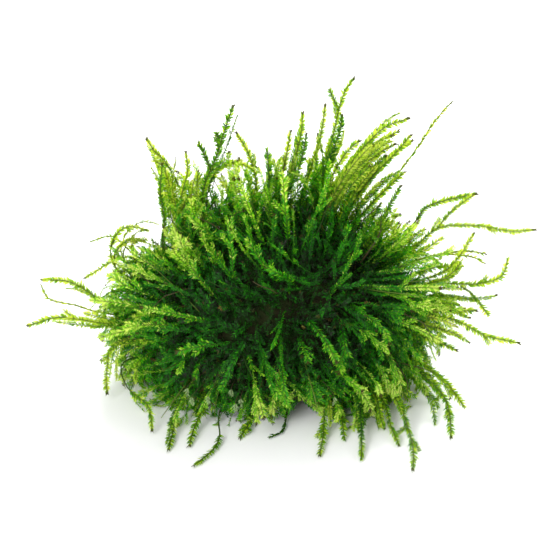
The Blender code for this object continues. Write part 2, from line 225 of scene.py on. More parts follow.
class Shading:
    """A material's node tree, with short ways to add the nodes that the finishes share."""

    def __init__(self, name: str) -> None:
        """Start a material of a name with its plain shader."""
        self.material = bpy.data.materials.new(name)
        self.material.use_nodes = True
        self.tree = self.material.node_tree
        self.shader = self.tree.nodes["Principled BSDF"]

    def feed(self, node: bpy.types.Node, inputs: Inputs) -> None:
        """Fill a node's inputs.

        Args:
            node: The node.
            inputs: What each input gets: a socket to link it to, or a value.
        """
        for name, value in inputs.items():
            if isinstance(value, Socket):
                self.tree.links.new(value, node.inputs[name])
            else:
                node.inputs[name].default_value = value

    def add(self, kind: str, output: str, inputs: Inputs, **settings: str) -> Socket:
        """Add a node.

        Args:
            kind: The node's type.
            output: The output that is wanted.
            inputs: What its inputs get.
            settings: Its own settings.

        Returns:
            The output's socket.
        """
        node = self.tree.nodes.new(kind)
        for name, value in settings.items():
            setattr(node, name, value)
        self.feed(node, inputs)
        return node.outputs[output]

    def mix(self, blend: str, first: Socket, second: object, factor: object = 1.0) -> Socket:
        """Blend two colours.

        Args:
            blend: The way to blend them.
            first: The first colour's socket.
            second: The second colour, or its socket.
            factor: How much of the second counts, or a socket that says it.

        Returns:
            The blended colour's socket.
        """
        inputs = {"Factor": factor, "A": first, "B": second}
        return self.add("ShaderNodeMix", "Result", inputs, data_type="RGBA", blend_type=blend)

    def ramp(self, stops: Stops, source: Socket) -> Socket:
        """Add a colour ramp.

        Args:
            stops: Each stop's place and colour.
            source: The socket that it reads.

        Returns:
            The ramp's colour socket.
        """
        ramp = self.tree.nodes.new("ShaderNodeValToRGB")
        elements = ramp.color_ramp.elements
        while len(elements) < len(stops):
            elements.new(0.5)
        for element, (place, colour) in zip(elements, stops):
            element.position = place
            element.color = (*colour, 1.0)
        self.feed(ramp, {"Fac": source})
        return ramp.outputs["Color"]

    def noise(self, vector: Socket, scale: float, detail: float) -> Socket:
        """Return smooth noise that reads a place, at a scale and a level of detail."""
        inputs = {"Vector": vector, "Scale": scale, "Detail": detail}
        return self.add("ShaderNodeTexNoise", "Fac", inputs)

    def relief(self, height: Socket, strength: float, depth: float) -> Socket:
        """Return the normals of a relief of a strength and a depth in metres."""
        inputs = {"Height": height, "Strength": strength, "Distance": depth}
        return self.add("ShaderNodeBump", "Normal", inputs)

    def place(self) -> Socket:
        """Return the place on the object."""
        return self.add("ShaderNodeTexCoord", "Object", {})


DARKEST = (0.00, (0.010, 0.016, 0.005))
# Dark tips, dead brown leaves and bleached ones
DEAD = (
    (0.84, (0.060, 0.064, 0.010)),
    (0.92, (0.300, 0.210, 0.050)),
    (1.00, (0.320, 0.500, 0.240)),
)
OLD_MOSS: Stops = (
    DARKEST,
    (0.12, (0.011, 0.064, 0.006)),
    (0.28, (0.010, 0.165, 0.004)),
    (0.46, (0.044, 0.345, 0.005)),
    (0.62, (0.250, 0.590, 0.018)),
    (0.76, (0.640, 0.830, 0.160)),
    *DEAD,
)
# Young shoots are more yellow than the old moss under them
YOUNG_MOSS: Stops = (
    DARKEST,
    (0.30, (0.020, 0.120, 0.005)),
    (0.46, (0.075, 0.270, 0.006)),
    (0.58, (0.215, 0.440, 0.010)),
    (0.70, (0.480, 0.680, 0.050)),
    (0.76, (0.600, 0.760, 0.100)),
    *DEAD,
)


@dataclass(frozen=True)
class MossFinish:
    """Living moss: leaves that let light through, on stems of their own colours."""

    name: str
    leaf_stops: Stops
    stem_stops: Stops = (
        (0.00, (0.014, 0.018, 0.008)),
        (0.30, (0.022, 0.070, 0.010)),
        (0.60, (0.130, 0.210, 0.030)),
        (0.78, (0.240, 0.300, 0.070)),
        (0.86, (0.100, 0.080, 0.035)),
        (1.00, (0.110, 0.090, 0.045)),
    )
    # A leaf is darker at its foot
    shade_stops: Stops = (
        (0.00, (0.70, 0.66, 0.60)),
        (0.30, (0.90, 0.90, 0.90)),
        (0.75, (1.15, 1.08, 1.00)),
    )
    leaves_end: float = 0.78
    roughness: float = 0.34
    gloss: float = 0.17
    through: float = 0.45
    through_tint: Colour = (1.25, 1.12, 0.45)

    def build(self) -> bpy.types.Material:
        """Make the material.

        Returns:
            A material that reads the tone and the lengthwise place of every face.
        """
        shading = Shading(self.name)
        tone, along = (
            shading.add("ShaderNodeAttribute", "Fac", {}, attribute_name=name)
            for name in ("tone", "along")
        )
        leaf = shading.ramp(self.leaf_stops, tone)
        leaf = shading.mix("MULTIPLY", leaf, shading.ramp(self.shade_stops, along))
        limits = {0: along, 1: self.leaves_end}
        is_stem = shading.add("ShaderNodeMath", "Value", limits, operation="GREATER_THAN")
        colour = shading.mix("MIX", leaf, shading.ramp(self.stem_stops, tone), is_stem)
        surface = {
            "Base Color": colour,
            "Roughness": self.roughness,
            "Specular IOR Level": self.gloss,
        }
        shading.feed(shading.shader, surface)
        tinted = shading.mix("MULTIPLY", colour, (*self.through_tint, 1.0))
        lit = shading.add("ShaderNodeBsdfTranslucent", "BSDF", {"Color": tinted})
        parts = {"Fac": self.through, 1: shading.shader.outputs["BSDF"], 2: lit}
        mixed = shading.add("ShaderNodeMixShader", "Shader", parts)
        shading.feed(shading.tree.nodes["Material Output"], {"Surface": mixed})
        return shading.material


@dataclass(frozen=True)
class LeafShape:
    """A moss leaf one unit long, cupped along its middle."""

    outline: tuple[Range, ...]
    cup: float = 0.10
    cup_width: float = 0.2
    tip_drop: float = 0.12
    fan: bool = False

    def template(self) -> tuple[Array, Array]:
        """Model the leaf.

        Returns:
            Its points, as (n, 3), and its triangles, as (m, 3).
        """
        bm = bmesh.new()
        for x, y in self.outline:
            bm.verts.new((x, y, self.cup * abs(y) / self.cup_width - self.tip_drop * x * x))
        blade = bm.faces.new(bm.verts)
        if self.fan:
            bmesh.ops.poke(bm, faces=[blade])
        else:
            bmesh.ops.connect_verts(bm, verts=[bm.verts[:][0], bm.verts[:][2]])
        bm.verts.index_update()
        points = np.array([tuple(vertex.co) for vertex in bm.verts])
        faces = np.array([[vertex.index for vertex in face.verts] for face in bm.faces])
        bm.free()
        return points, faces


SIMPLE_LEAF = LeafShape(((0.0, 0.0), (0.36, 0.15), (1.0, 0.0), (0.36, -0.15)))
FINE_LEAF = LeafShape(
    ((0.0, 0.0), (0.16, 0.12), (0.42, 0.14), (1.0, 0.0), (0.42, -0.14), (0.16, -0.12)), fan=True
)


@dataclass(frozen=True)
class LeafStyle:
    """How the leaves stand on a shoot, and how thick its stem is at the root and the tip."""

    shape: LeafShape = SIMPLE_LEAF
    length: float = 1.5 * MM
    spacing: float = 0.5 * MM
    spread: float = 0.80
    lift: float = 0.30
    stem: float = 0.13 * MM
    taper: float = 0.5
    leafless: float = 0.0


@dataclass
class Strands:
    """The paths of many shoots, the way their flat sides face, their tones and their sizes."""

    BROWN = 0.84
    GREENEST = 0.76
    BROWN_FROM = 0.5

    points: Array
    facing: Array
    root_tone: Array
    tip_tone: Array
    dark_tip: Array
    size: Array
    root_size: Array

    def lengths(self) -> Array:
        """Return the length of each path."""
        return np.linalg.norm(np.diff(self.points, axis=1), axis=2).sum(axis=1)

    def tangents(self) -> Array:
        """Return the way each path runs at each of its points."""
        return unit(np.gradient(self.points, axis=1))

    def take(self, chosen: Array) -> Strands:
        """Return only the chosen paths."""
        return Strands(*(getattr(self, name)[chosen] for name in self.__dataclass_fields__))

    def cut(self, left: Array) -> Strands:
        """Cut the paths back.

        Args:
            left: The share of each path that is left, from 0 to 1.

        Returns:
            The paths, each with as many points as before.
        """
        count, points = self.points.shape[:2]
        which = np.repeat(np.arange(count), points)
        share = (left[:, None] * np.linspace(0.0, 1.0, points)).ravel()
        place, _ = self.at(which, share)
        return replace(self, points=place.reshape(count, points, 3))

    def at(self, which: Array, share: Array) -> tuple[Array, Array]:
        """Read the paths part of the way along.

        Args:
            which: The path of each reading.
            share: How far along it is, from 0 to 1.

        Returns:
            Each reading's place and direction.
        """
        last = self.points.shape[1] - 1
        spot = np.clip(share, 0.0, 1.0) * last
        low = np.minimum(spot.astype(int), last - 1)
        rest = (spot - low)[:, None]
        runs = self.tangents()
        place = self.points[which, low] * (1 - rest) + self.points[which, low + 1] * rest
        return place, unit(runs[which, low] * (1 - rest) + runs[which, low + 1] * rest)

    def tone_at(self, which: Array, share: Array) -> Array:
        """Return the tone of some paths, each part of the way along."""
        tone = self.root_tone[which] * (1 - share) + self.tip_tone[which] * share
        return np.where(self.dark_tip[which] * share > self.BROWN_FROM, self.BROWN, tone)


class MossMesh:
    """Joins many leaves and stems in one mesh."""

    LOWEST = 0.05 * MM
    # On the map: its margin, the least span of values, and the width that is left when the
    # corners of a face lie apart, so that none has an area of 0
    MARGIN = 0.02
    LEAST = 0.001
    WIDTH = 0.99
    CORNERS = (0.0, 0.004, 0.008)

    def __init__(self, name: str) -> None:
        """Start an empty mesh of a name."""
        self.name = name
        self.parts: list[tuple[Array, ...]] = []
        self.count = 0

    def add(self, points: Array, faces: Array, tone: Array, along: Array) -> None:
        """Add copies of one shape.

        Args:
            points: Every copy's points, as (copies, points, 3).
            faces: The shape's own triangles, as (faces, 3).
            tone: Every point's tone, as (copies, points).
            along: Every point's lengthwise place, as (copies, points).
        """
        copies, size = points.shape[:2]
        first = self.count + size * np.arange(copies)
        faces = (faces[None] + first[:, None, None]).reshape(-1, 3)
        self.parts.append((points.reshape(-1, 3), faces, tone.ravel(), along.ravel()))
        self.count += copies * size

    def finish(self, material: bpy.types.Material, node: str) -> None:
        """Make the piece, and put it in place of a solid.

        Args:
            material: The finish that it wears.
            node: The solid that it takes the place of.
        """
        points, faces, tone, along = (np.concatenate(part) for part in zip(*self.parts))
        points[:, 2] = np.maximum(points[:, 2], self.LOWEST)
        tone = np.clip(tone, 0.0, 1.0)
        mesh = bpy.data.meshes.new(self.name)
        mesh.vertices.add(len(points))
        mesh.vertices.foreach_set("co", points.astype(np.float32).ravel())
        mesh.loops.add(faces.size)
        mesh.loops.foreach_set("vertex_index", faces.astype(np.int32).ravel())
        mesh.polygons.add(len(faces))
        mesh.polygons.foreach_set("loop_start", np.arange(0, faces.size, 3, dtype=np.int32))
        mesh.polygons.foreach_set("use_smooth", np.ones(len(faces), dtype=bool))
        for name, values in (("tone", tone), ("along", along)):
            layer = mesh.attributes.new(name, "FLOAT", "POINT")
            layer.data.foreach_set("value", values.astype(np.float32))
        self._unwrap(mesh, tone[faces.ravel()], along[faces.ravel()])
        mesh.materials.append(material)
        mesh.update(calc_edges=True)
        mesh.validate()
        install(mesh, node)

    def _unwrap(self, mesh: bpy.types.Mesh, tone: Array, along: Array) -> None:
        """Lay every face out by its tone and its lengthwise place, which give its colour.

        Args:
            mesh: The mesh that the map goes on.
            tone: The tone of each corner.
            along: The lengthwise place of each corner.
        """
        places = []
        for values in (tone, along):
            low, high = values.min(), max(values.max(), values.min() + self.LEAST)
            places.append(self.MARGIN + (1 - 2 * self.MARGIN) * (values - low) / (high - low))
        places[0] = self.WIDTH * places[0] + np.tile(self.CORNERS, len(tone) // 3)
        bake = mesh.uv_layers.new(name="OFBake")
        bake.uv.foreach_set("vector", np.stack(places, axis=1).astype(np.float32).ravel())


class Grower:
    """Turns the paths of shoots into leaves and stems of one finish."""

    # The lengthwise places of a leaf's tip and of a stem's three sides
    LEAF_END = 0.72
    STEM = 0.86
    STEM_STEP = 0.02
    SIDES = 3
    FEWEST_PAIRS = 3
    # How much the leaves' tones, sizes and headings vary
    MOTTLE = 0.10
    UNEVEN = 0.14
    TWIST = 0.2
    # The parts of a shoot where the leaves grow to full size, and close in on the tip
    GROWING = (0.15, 0.75)
    TIP = (0.9, 1.0)
    TIP_CLOSED = 0.5
    TIP_SMALLER = 0.3

    def __init__(self, rng: Chance, material: bpy.types.Material) -> None:
        """Grow with one source of chance and one finish."""
        self.rng = rng
        self.material = material

    def grow(self, mesh: MossMesh, strands: Strands, style: LeafStyle) -> None:
        """Add leafy shoots of a style along some paths."""
        self.leaves(mesh, strands, style)
        self.stems(mesh, strands, style)

    def leaves(self, mesh: MossMesh, strands: Strands, style: LeafStyle) -> None:
        """Set two rows of leaves along every path.

        Args:
            mesh: The mesh that they go in.
            strands: The paths.
            style: How the leaves stand.
        """
        rng = self.rng
        leafy = strands.lengths() * (1 - style.leafless)
        pairs = np.round(leafy / (style.spacing * strands.size))
        pairs = np.maximum(self.FEWEST_PAIRS, pairs).astype(int)
        shoot = np.repeat(np.arange(len(pairs)), 2 * pairs)
        order = np.concatenate([np.arange(2 * count) for count in pairs])
        share = style.leafless + (1 - style.leafless) * (order + 0.5) / (2 * pairs[shoot])
        side = np.where(order % 2 == 0, 1.0, -1.0)[:, None]
        place, run = strands.at(shoot, share)
        across, up = across_and_up(run, strands.facing[shoot])
        count = len(shoot)
        tip = ease(*self.TIP, share)
        closed = 1 - self.TIP_CLOSED * tip
        spread = (style.spread * closed * rng.normal(1.0, self.UNEVEN, count))[:, None]
        lift = rng.normal(0.0, style.lift, count)[:, None]
        outward = across * side * np.cos(lift) + up * np.sin(lift)
        heading = unit(run * np.cos(spread) + outward * np.sin(spread))
        twist = self.TWIST * rng.normal(0, 1, (count, 3))
        width = unit(np.cross(unit(up - dot(up, heading) * heading + twist), heading))
        grown = ease(*self.GROWING, share)
        swell = strands.root_size[shoot] * (1 - grown) + grown
        size = style.length * (swell * (1 - self.TIP_SMALLER * tip)) * strands.size[shoot]
        length = (size * rng.normal(1.0, self.UNEVEN, count))[:, None, None]
        template, faces = style.shape.template()
        x, y, z = (template[None, :, axis, None] for axis in range(3))
        points = place[:, None] + length * (
            x * heading[:, None] + y * width[:, None] + z * np.cross(heading, width)[:, None]
        )
        tone = strands.tone_at(shoot, share)
        varied = np.clip(tone + rng.normal(0.0, self.MOTTLE, count), 0.0, strands.GREENEST)
        tone = np.where(tone > strands.GREENEST, tone, varied)
        tone = np.repeat(tone[:, None], len(template), axis=1)
        along = np.repeat(self.LEAF_END * template[None, :, 0], count, axis=0)
        mesh.add(points, faces, tone, along)

    def stems(self, mesh: MossMesh, strands: Strands, style: LeafStyle) -> None:
        """Sweep a thin stem along every path.

        Args:
            mesh: The mesh that they go in.
            strands: The paths.
            style: How thick the stems are.
        """
        shoots, rings = strands.points.shape[:2]
        frames = across_and_up(strands.tangents(), strands.facing[:, None])
        across, up = (way[:, :, None] for way in frames)
        turns = (2 * math.pi * np.arange(self.SIDES) / self.SIDES)[None, None, :, None]
        thick = style.stem * strands.size[:, None] * np.linspace(1.0, style.taper, rings)[None]
        around = (np.cos(turns) * across + np.sin(turns) * up) * thick[:, :, None, None]
        points = (strands.points[:, :, None] + around).reshape(shoots, -1, 3)
        tone = np.linspace(strands.root_tone, strands.tip_tone, rings, axis=1)
        along = self.STEM + self.STEM_STEP * np.tile(np.arange(self.SIDES), (shoots, rings))
        mesh.add(points, self._tube(rings), np.repeat(tone, self.SIDES, axis=1), along)

    def _tube(self, rings: int) -> Array:
        """Return the triangles of a closed tube with a number of rings."""
        bm = bmesh.new()
        depth = rings - 1
        bmesh.ops.create_cone(
            bm, cap_ends=True, segments=self.SIDES, radius1=1, radius2=1, depth=depth
        )
        bmesh.ops.translate(bm, verts=bm.verts, vec=(0, 0, depth / 2))
        for ring in range(1, depth):
            geom = bm.verts[:] + bm.edges[:] + bm.faces[:]
            bmesh.ops.bisect_plane(bm, geom=geom, plane_co=(0, 0, ring), plane_no=(0, 0, 1))
        bmesh.ops.triangulate(bm, faces=bm.faces[:])
        bmesh.ops.recalc_face_normals(bm, faces=bm.faces[:])
        # Turned a little, so that each ring's first corner comes first
        around = [
            (round(vertex.co.z), (math.atan2(vertex.co.y, vertex.co.x) + 0.1) % (2 * math.pi))
            for vertex in bm.verts
        ]
        order = sorted(range(len(around)), key=around.__getitem__)
        number = {vertex: place for place, vertex in enumerate(order)}
        bm.verts.index_update()
        faces = np.array([[number[vertex.index] for vertex in face.verts] for face in bm.faces])
        bm.free()
        return faces


@dataclass(frozen=True)
class Branching:
    """How side shoots leave a frond."""

    # How much the side shoots' places, angles and lengths vary
    PLACES = (0.1, 0.9)
    LENGTHS = (0.6, 1.3)
    UNEVEN = 0.18
    OFF_FLAT = 0.35
    BEND = 0.15
    # How much of the frond's own way they take up, get shorter to its tip, and are fresher
    FOLLOW = 0.5
    SHORTER = 0.6
    FRESHER = 0.06

    fewest: int = 4
    most: int = 8
    first: float = 0.15
    last: float = 0.88
    angle: float = 0.75
    length: float = 0.36
    points: int = 4
    size: float = 0.82

    def grow(self, fronds: Strands, rng: Chance) -> Strands:
        """Lay out the side shoots of many fronds.

        Args:
            fronds: The fronds that they leave.
            rng: The source of chance.

        Returns:
            The side shoots' paths.
        """
        counts = rng.integers(self.fewest, self.most + 1, len(fronds.points))
        parent = np.repeat(np.arange(len(counts)), counts)
        total = len(parent)
        order = np.concatenate([np.arange(count) for count in counts])
        share = (order + rng.uniform(*self.PLACES, total)) / counts[parent]
        share = between((self.first, self.last), share)
        place, run = fronds.at(parent, share)
        across, up = across_and_up(run, fronds.facing[parent])
        side = np.where((order + parent) % 2 == 0, 1.0, -1.0)[:, None]
        angle = (self.angle * rng.normal(1.0, self.UNEVEN, total))[:, None]
        outward = unit(across * side + up * rng.normal(0, self.OFF_FLAT, (total, 1)))
        start = run * np.cos(angle) + outward * np.sin(angle)
        end = start + self.FOLLOW * run + rng.normal(0, self.BEND, start.shape)
        length = fronds.lengths()[parent] * self.length * (1 - self.SHORTER * share)
        length = length * rng.uniform(*self.LENGTHS, total)
        tone = fronds.tone_at(parent, share)
        return Strands(
            sweep(place, start, end, length, self.points),
            fronds.facing[parent],
            tone,
            tone + self.FRESHER,
            fronds.dark_tip[parent] * rng.uniform(0, 1, total),
            fronds.size[parent] * self.size,
            np.ones(total),
        )


@dataclass(frozen=True)
class Cushion:
    """The dome that the cushion of moss fills, and how the moss lies on it."""

    middle: Spot = (-2.5 * MM, 2 * MM, 17 * MM)
    half: Spot = (36 * MM, 26 * MM, 27.5 * MM)
    # The lines that the moss is combed away from, on the front and on the back
    partings: tuple[Route, Route] = (
        ((-7 * MM, -20 * MM, 24 * MM), (11 * MM, -12 * MM, 37 * MM)),
        ((-14 * MM, 20 * MM, 30 * MM), (10 * MM, 27 * MM, 18 * MM)),
    )
    turn_over: Range = (-0.45, 0.45)
    lump_size: float = 12 * MM
    lump_height: float = 3.2 * MM
    slack: float = 0.3
    # Parts of the lightness, partly painted light and shade: how much each adds, and where it starts
    # and is full. Away from the partings the moss is lighter, partly its own fresher growth and
    # partly painted shade in the parted hollows
    painted_shade_near_partings: Spot = (0.40, 7 * MM, 33 * MM)
    # Painted light low down, where the lower part of the cushion lies in its own shadow
    painted_low_light: Spot = (0.16, 14 * MM, 3 * MM)
    # Further out the moss is lighter, partly its own fresher tips and partly painted shade deep in
    # the cushion
    outer_tone_and_depth_shade: Spot = (0.40, 1.0, 1.3)
    # A painted glow towards the cushion's outline as seen from the front, standing in for back light
    # shining through the rim's shoots
    painted_rim_glow: Spot = (0.40, 0.62, 1.0)
    # Random patches of the moss's own lighter and darker tone, and their size
    patch_light: float = 0.26
    patch_size: float = 9 * MM
    seen_middle: Range = (-2.5 * MM, 15.95 * MM)
    # The dense moss's reach as seen from the front, in millimetres, from the right over the top
    seen_reach: tuple[float, ...] = (
        *(44.6, 49.2, 51.6, 48.7, 42.2, 48.7, 40.6, 37.7, 42.5, 54.5, 52.6, 46.8),
        *(56.9, 43.4, 45.8, 38.9, 38.9, 38.6, 42.2, 39.8, 43.4, 45.1, 40.3, 33.6),
        *(29.5, 34.0, 41.0, 40.8, 42.0, 42.0, 43.0, 39.8, 40.3, 40.8, 38.6, 37.4),
        *(38.9, 33.4, 35.8, 31.4, 27.6, 26.2, 25.7, 26.6, 24.2, 24.0, 23.3, 22.6),
        *(19.8, 21.6, 28.5, 38.4, 35.8, 43.0, 40.1, 37.2, 49.4, 40.8, 38.6, 43.9),
    )

    def surface(self, outward: Array, depth: Array) -> Array:
        """Return places on the dome.

        Args:
            outward: Directions from its middle, each of length one.
            depth: How large the layer is, where 1 is the outside of the cushion.

        Returns:
            A place for every direction.
        """
        flat = outward * np.array(self.half)
        swell = outward * (lumpy(flat, self.lump_size) * self.lump_height)[:, None]
        return np.array(self.middle) + flat * depth + swell

    def normals(self, outward: Array) -> Array:
        """Return the way the dome faces in each direction from its middle."""
        return unit(outward / np.array(self.half))

    def scaled(self, places: Array) -> Array:
        """Return places on a scale where the dome is a ball of radius 1 around 0."""
        return (places - np.array(self.middle)) / np.array(self.half)

    def hug(self, paths: Array, reach: Array) -> Array:
        """Press paths down onto the dome where they would stand too far off it.

        Args:
            paths: The paths, as (n, points, 3).
            reach: How far out each may go, where 1 is the outside of the cushion.

        Returns:
            The paths, bent so that they lie along the dome from there on.
        """
        out = self.scaled(paths)
        far = np.linalg.norm(out, axis=2, keepdims=True)
        limit = reach[:, None, None]
        pressed = np.minimum(far, limit + self.slack * (far - limit))
        return np.array(self.middle) + out * pressed / far * np.array(self.half)

    def off_middle(self, places: Array) -> Array:
        """Measure how far out places are, as seen from the front.

        Args:
            places: The places.

        Returns:
            A value for each, where 1 is the dense moss's own outline.
        """
        up = places[..., 2] * math.cos(ELEVATION) + places[..., 1] * math.sin(ELEVATION)
        right, up = places[..., 0] - self.seen_middle[0], up - self.seen_middle[1]
        turns = np.linspace(0, 2 * math.pi, len(self.seen_reach), endpoint=False)
        limit = np.interp(np.arctan2(up, right), turns, self.seen_reach, period=2 * math.pi)
        return np.hypot(right, up) / (limit * MM)

    def inside(self, paths: Array, slack: Array) -> Array:
        """Find where paths leave the dense moss, as seen from the front.

        Args:
            paths: The paths, as (n, points, 3).
            slack: How far out each may go, where 1 is the dense moss's own outline.

        Returns:
            The share of each path that lies inside.
        """
        over = self.off_middle(paths) - slack[:, None]
        leaves = (over > 0).any(axis=1)
        last = paths.shape[1] - 1
        first = np.where(leaves, (over > 0).argmax(axis=1), last)
        row = np.arange(len(paths))
        before = np.maximum(first - 1, 0)
        rise = over[row, first] - over[row, before]
        part = np.clip(-over[row, before] / np.maximum(rise, 1e-9), 0.0, 1.0)
        share = np.where(first == 0, 0.0, (before + part) / last)
        return np.where(leaves, share, 1.0)

    def flow(self, places: Array, normals: Array) -> Array:
        """Return the way the moss is combed along the dome: away from its two partings.

        Args:
            places: The places to read it at.
            normals: The way the dome faces there.

        Returns:
            Directions along the dome, short where the two partings' flows meet.
        """
        ways = [self._away(places, parting) for parting in self.partings]
        front, rear = (unit(way - dot(way, normals) * normals) for way in ways)
        back = ease(*self.turn_over, normals[:, 1:2])
        return front * (1 - back) + rear * back

    @staticmethod
    def _away(places: Array, parting: Route) -> Array:
        """Return the way from the nearest point of a parting to each place."""
        start, end = (np.array(point) for point in parting)
        run = end - start
        share = np.clip((places - start) @ run / (run @ run), 0.0, 1.0)[:, None]
        return places - (start + share * run)

    def off_partings(self, places: Array) -> Array:
        """Return how far each place is from the nearest parting."""
        ways = [self._away(places, parting) for parting in self.partings]
        return np.minimum(*(np.linalg.norm(way, axis=-1) for way in ways))

    def brightness(self, places: Array) -> Array:
        """Return how light the moss is: 0 in its dark middle and 1 at its rim. Part of this is the
        moss's own tone, older inside and fresher outside. The rest is painted light and shade:
        painted shade near the partings and deep in the cushion, painted light low down, and a
        painted glow on the rim as seen from the front.

        Args:
            places: The places to read it at.

        Returns:
            A value for each place.
        """
        reach = np.linalg.norm(self.scaled(places), axis=-1)
        patches = self.patch_light * lumpy(places, self.patch_size)
        # The moss's own tone and patches, with painted shade near the partings and deep inside,
        # painted light low down and a painted rim glow
        light = self._part(self.painted_shade_near_partings, self.off_partings(places)) + patches
        light += self._part(self.painted_low_light, places[:, 2]) + self._part(self.outer_tone_and_depth_shade, reach)
        light += self._part(self.painted_rim_glow, self.off_middle(places))
        return np.clip(light, 0.0, 1.0)

    @staticmethod
    def _part(part: Spot, value: Array) -> Array:
        """Return what one part of the lightness adds."""
        return part[0] * ease(part[1], part[2], value)


CUSHION = Cushion()


def spread_directions(count: int) -> Array:
    """Return a number of directions spread evenly round a point.

    Args:
        count: How many there are.

    Returns:
        The directions, each of length one.
    """
    order = np.arange(count) + 0.5
    height = 1 - 2 * order / count
    turn = math.pi * (1 + math.sqrt(5)) * order
    flat = np.sqrt(1 - height**2)
    return np.stack([flat * np.cos(turn), flat * np.sin(turn), height], axis=1)


@dataclass
class Coat:
    """One layer of shoots that grow all over the cushion, in tufts that lie the same way."""

    # Shoots that are cut back further than this share are left out
    SHORTEST = 0.4
    OUTLINE = (0.92, 1.06)
    # How much the tufts and their shoots vary
    TUFT_PLACES = 0.03
    TUFT_LENGTHS = (0.8, 1.2)
    OWN_DISORDER = 0.5
    JITTER = 0.035
    FACING = 0.45
    SIZES = (0.65, 1.15)
    ROOT_SIZES = (0.5, 1.0)
    GAP_SIZE = 8 * MM
    SWIRL_SIZE = 9 * MM
    SWIRL = (0.6, 0.8)
    # How much the top counts as a top, stands up there, and hangs down on the sides
    TOP = (0.30, 0.85)
    UPRIGHT = 0.85
    HANG = 0.38
    TOP_LESS_COMBED = 0.5
    # How much more a root stands up than the tip, and how much less it is combed
    ROOT_STAND = 0.35
    ROOT_LIE = 0.7
    # How far off the seen middle the shoots start to be shorter, and are shortest
    INNER = (0.70, 0.25)
    LOWEST = 0.6 * MM
    TONES = (0.02, 0.76)
    OLD_ROOT = 0.86
    OLD_TIPS = (0.85, 0.96)
    DARK_TIP = 0.54

    name: str
    tufts: int
    per_tuft: int
    layer: Range
    length: Range
    style: LeafStyle
    spread: float
    stand: float
    lie: float
    disorder: float
    root_tone: Range
    tip_tone: Range
    reach: Range
    top_reach: float = 0.0
    gaps: float = -1.0
    branching: Branching | None = None
    points: int = 7
    lowest: float = 4 * MM
    dark_tips: float = 0.3
    old: float = 0.0
    near_partings: float = 1.0
    shorter_inside: float = 0.0
    habit: Habit = Habit.LEAFY

    def lay_out(self, rng: Chance) -> Strands:
        """Lay out the layer's shoots.

        Args:
            rng: The source of chance.

        Returns:
            The paths.
        """
        places = spread_directions(self.tufts)
        guide = unit(places + rng.normal(0, self.TUFT_PLACES, (self.tufts, 3)))
        tuft = np.repeat(np.arange(self.tufts), self.per_tuft)
        outward = unit(guide[tuft] + rng.normal(0, self.spread, (len(tuft), 3)))
        root = CUSHION.surface(outward, rng.uniform(*self.layer, (len(tuft), 1)))
        kept = (root[:, 2] > self.lowest) & (lumpy(root, self.GAP_SIZE) > self.gaps)
        kept &= CUSHION.off_partings(root) < self.near_partings
        tuft, outward, root = tuft[kept], outward[kept], root[kept]
        count = len(root)
        normal = CUSHION.normals(outward)
        top = ease(*self.TOP, normal[:, 2:3])
        points = self._paths(root, normal, top, tuft, rng)
        reach = rng.uniform(*self.reach, count)
        reach = reach + self.top_reach * top[:, 0] * rng.uniform(0, 1, count)
        points = CUSHION.hug(points, reach)
        points[:, :, 2] = np.maximum(points[:, :, 2], self.LOWEST)
        # Tones along each shoot from the cushion's lightness, which is partly the moss's own tone
        # and partly painted light and shade
        light = CUSHION.brightness(points[:, -2])
        jitter = rng.normal(0, self.JITTER, count) + rng.normal(0, self.JITTER, self.tufts)[tuft]
        left = CUSHION.inside(points, rng.uniform(*self.OUTLINE, count))
        old = rng.uniform(0, 1, count) < self.old
        root_tone = np.clip(between(self.root_tone, light), *self.TONES)
        tip_tone = np.clip(between(self.tip_tone, light) + jitter, *self.TONES)
        grown = Strands(
            points=points,
            root_tone=np.where(old, self.OLD_ROOT, root_tone),
            tip_tone=np.where(old, rng.uniform(*self.OLD_TIPS, count), tip_tone),
            dark_tip=self.DARK_TIP * (rng.uniform(0, 1, count) < self.dark_tips),
            facing=unit(normal + rng.normal(0, self.FACING, (count, 3))),
            size=rng.uniform(*self.SIZES, count),
            root_size=rng.uniform(*self.ROOT_SIZES, count),
        )
        return grown.cut(left).take(left > self.SHORTEST)

    def _paths(self, root: Array, normal: Array, top: Array, tuft: Array, rng: Chance) -> Array:
        """Let the shoots grow from their roots.

        Args:
            root: Where each shoot starts.
            normal: The way the cushion faces there.
            top: How much that is the cushion's top, from 0 to 1.
            tuft: The tuft of each shoot.
            rng: The source of chance.

        Returns:
            The paths, as (n, points, 3).
        """
        count = len(root)
        flow = CUSHION.flow(root, normal)
        swirl = wander(root, self.SWIRL_SIZE)
        together = rng.normal(0, self.disorder, (self.tufts, 3))[tuft]
        chance = together + rng.normal(0, self.disorder * self.OWN_DISORDER, (count, 3))
        weight = np.array([0.0, 0.0, 1.0]) * (self.UPRIGHT * top - self.HANG * (1 - top))
        rising = normal * (self.stand + self.ROOT_STAND) + flow * self.lie * self.ROOT_LIE
        start = unit(rising + swirl * self.SWIRL[0] + chance)
        lying = flow * self.lie * (1 - self.TOP_LESS_COMBED * top)
        end = unit(normal * self.stand + lying + weight + swirl * self.SWIRL[1] + chance)
        length = rng.uniform(*self.length, count)
        length = length * rng.uniform(*self.TUFT_LENGTHS, self.tufts)[tuft]
        length *= 1 - self.shorter_inside * ease(*self.INNER, CUSHION.off_middle(root))
        return sweep(root, start, end, length, self.points)

    def build(self, grower: Grower) -> None:
        """Make the layer, a quarter of the cushion to a piece.

        Args:
            grower: What grows the shoots.
        """
        strands = self.lay_out(grower.rng)
        root = strands.points[:, 0] - np.array(CUSHION.middle)
        quarter = (root[:, 1] > 0) * 2 + (root[:, 0] > 0)
        for place in Quarter:
            chosen = strands.take(quarter == place.value)
            mesh = MossMesh(f"{self.name}_{place.name.lower()}")
            if self.habit is Habit.LEAFY:
                grower.leaves(mesh, chosen, self.style)
            grower.stems(mesh, chosen, self.style)
            if self.branching:
                grower.grow(mesh, self.branching.grow(chosen, grower.rng), self.style)
            mesh.finish(grower.material, CUSHION_NODE)


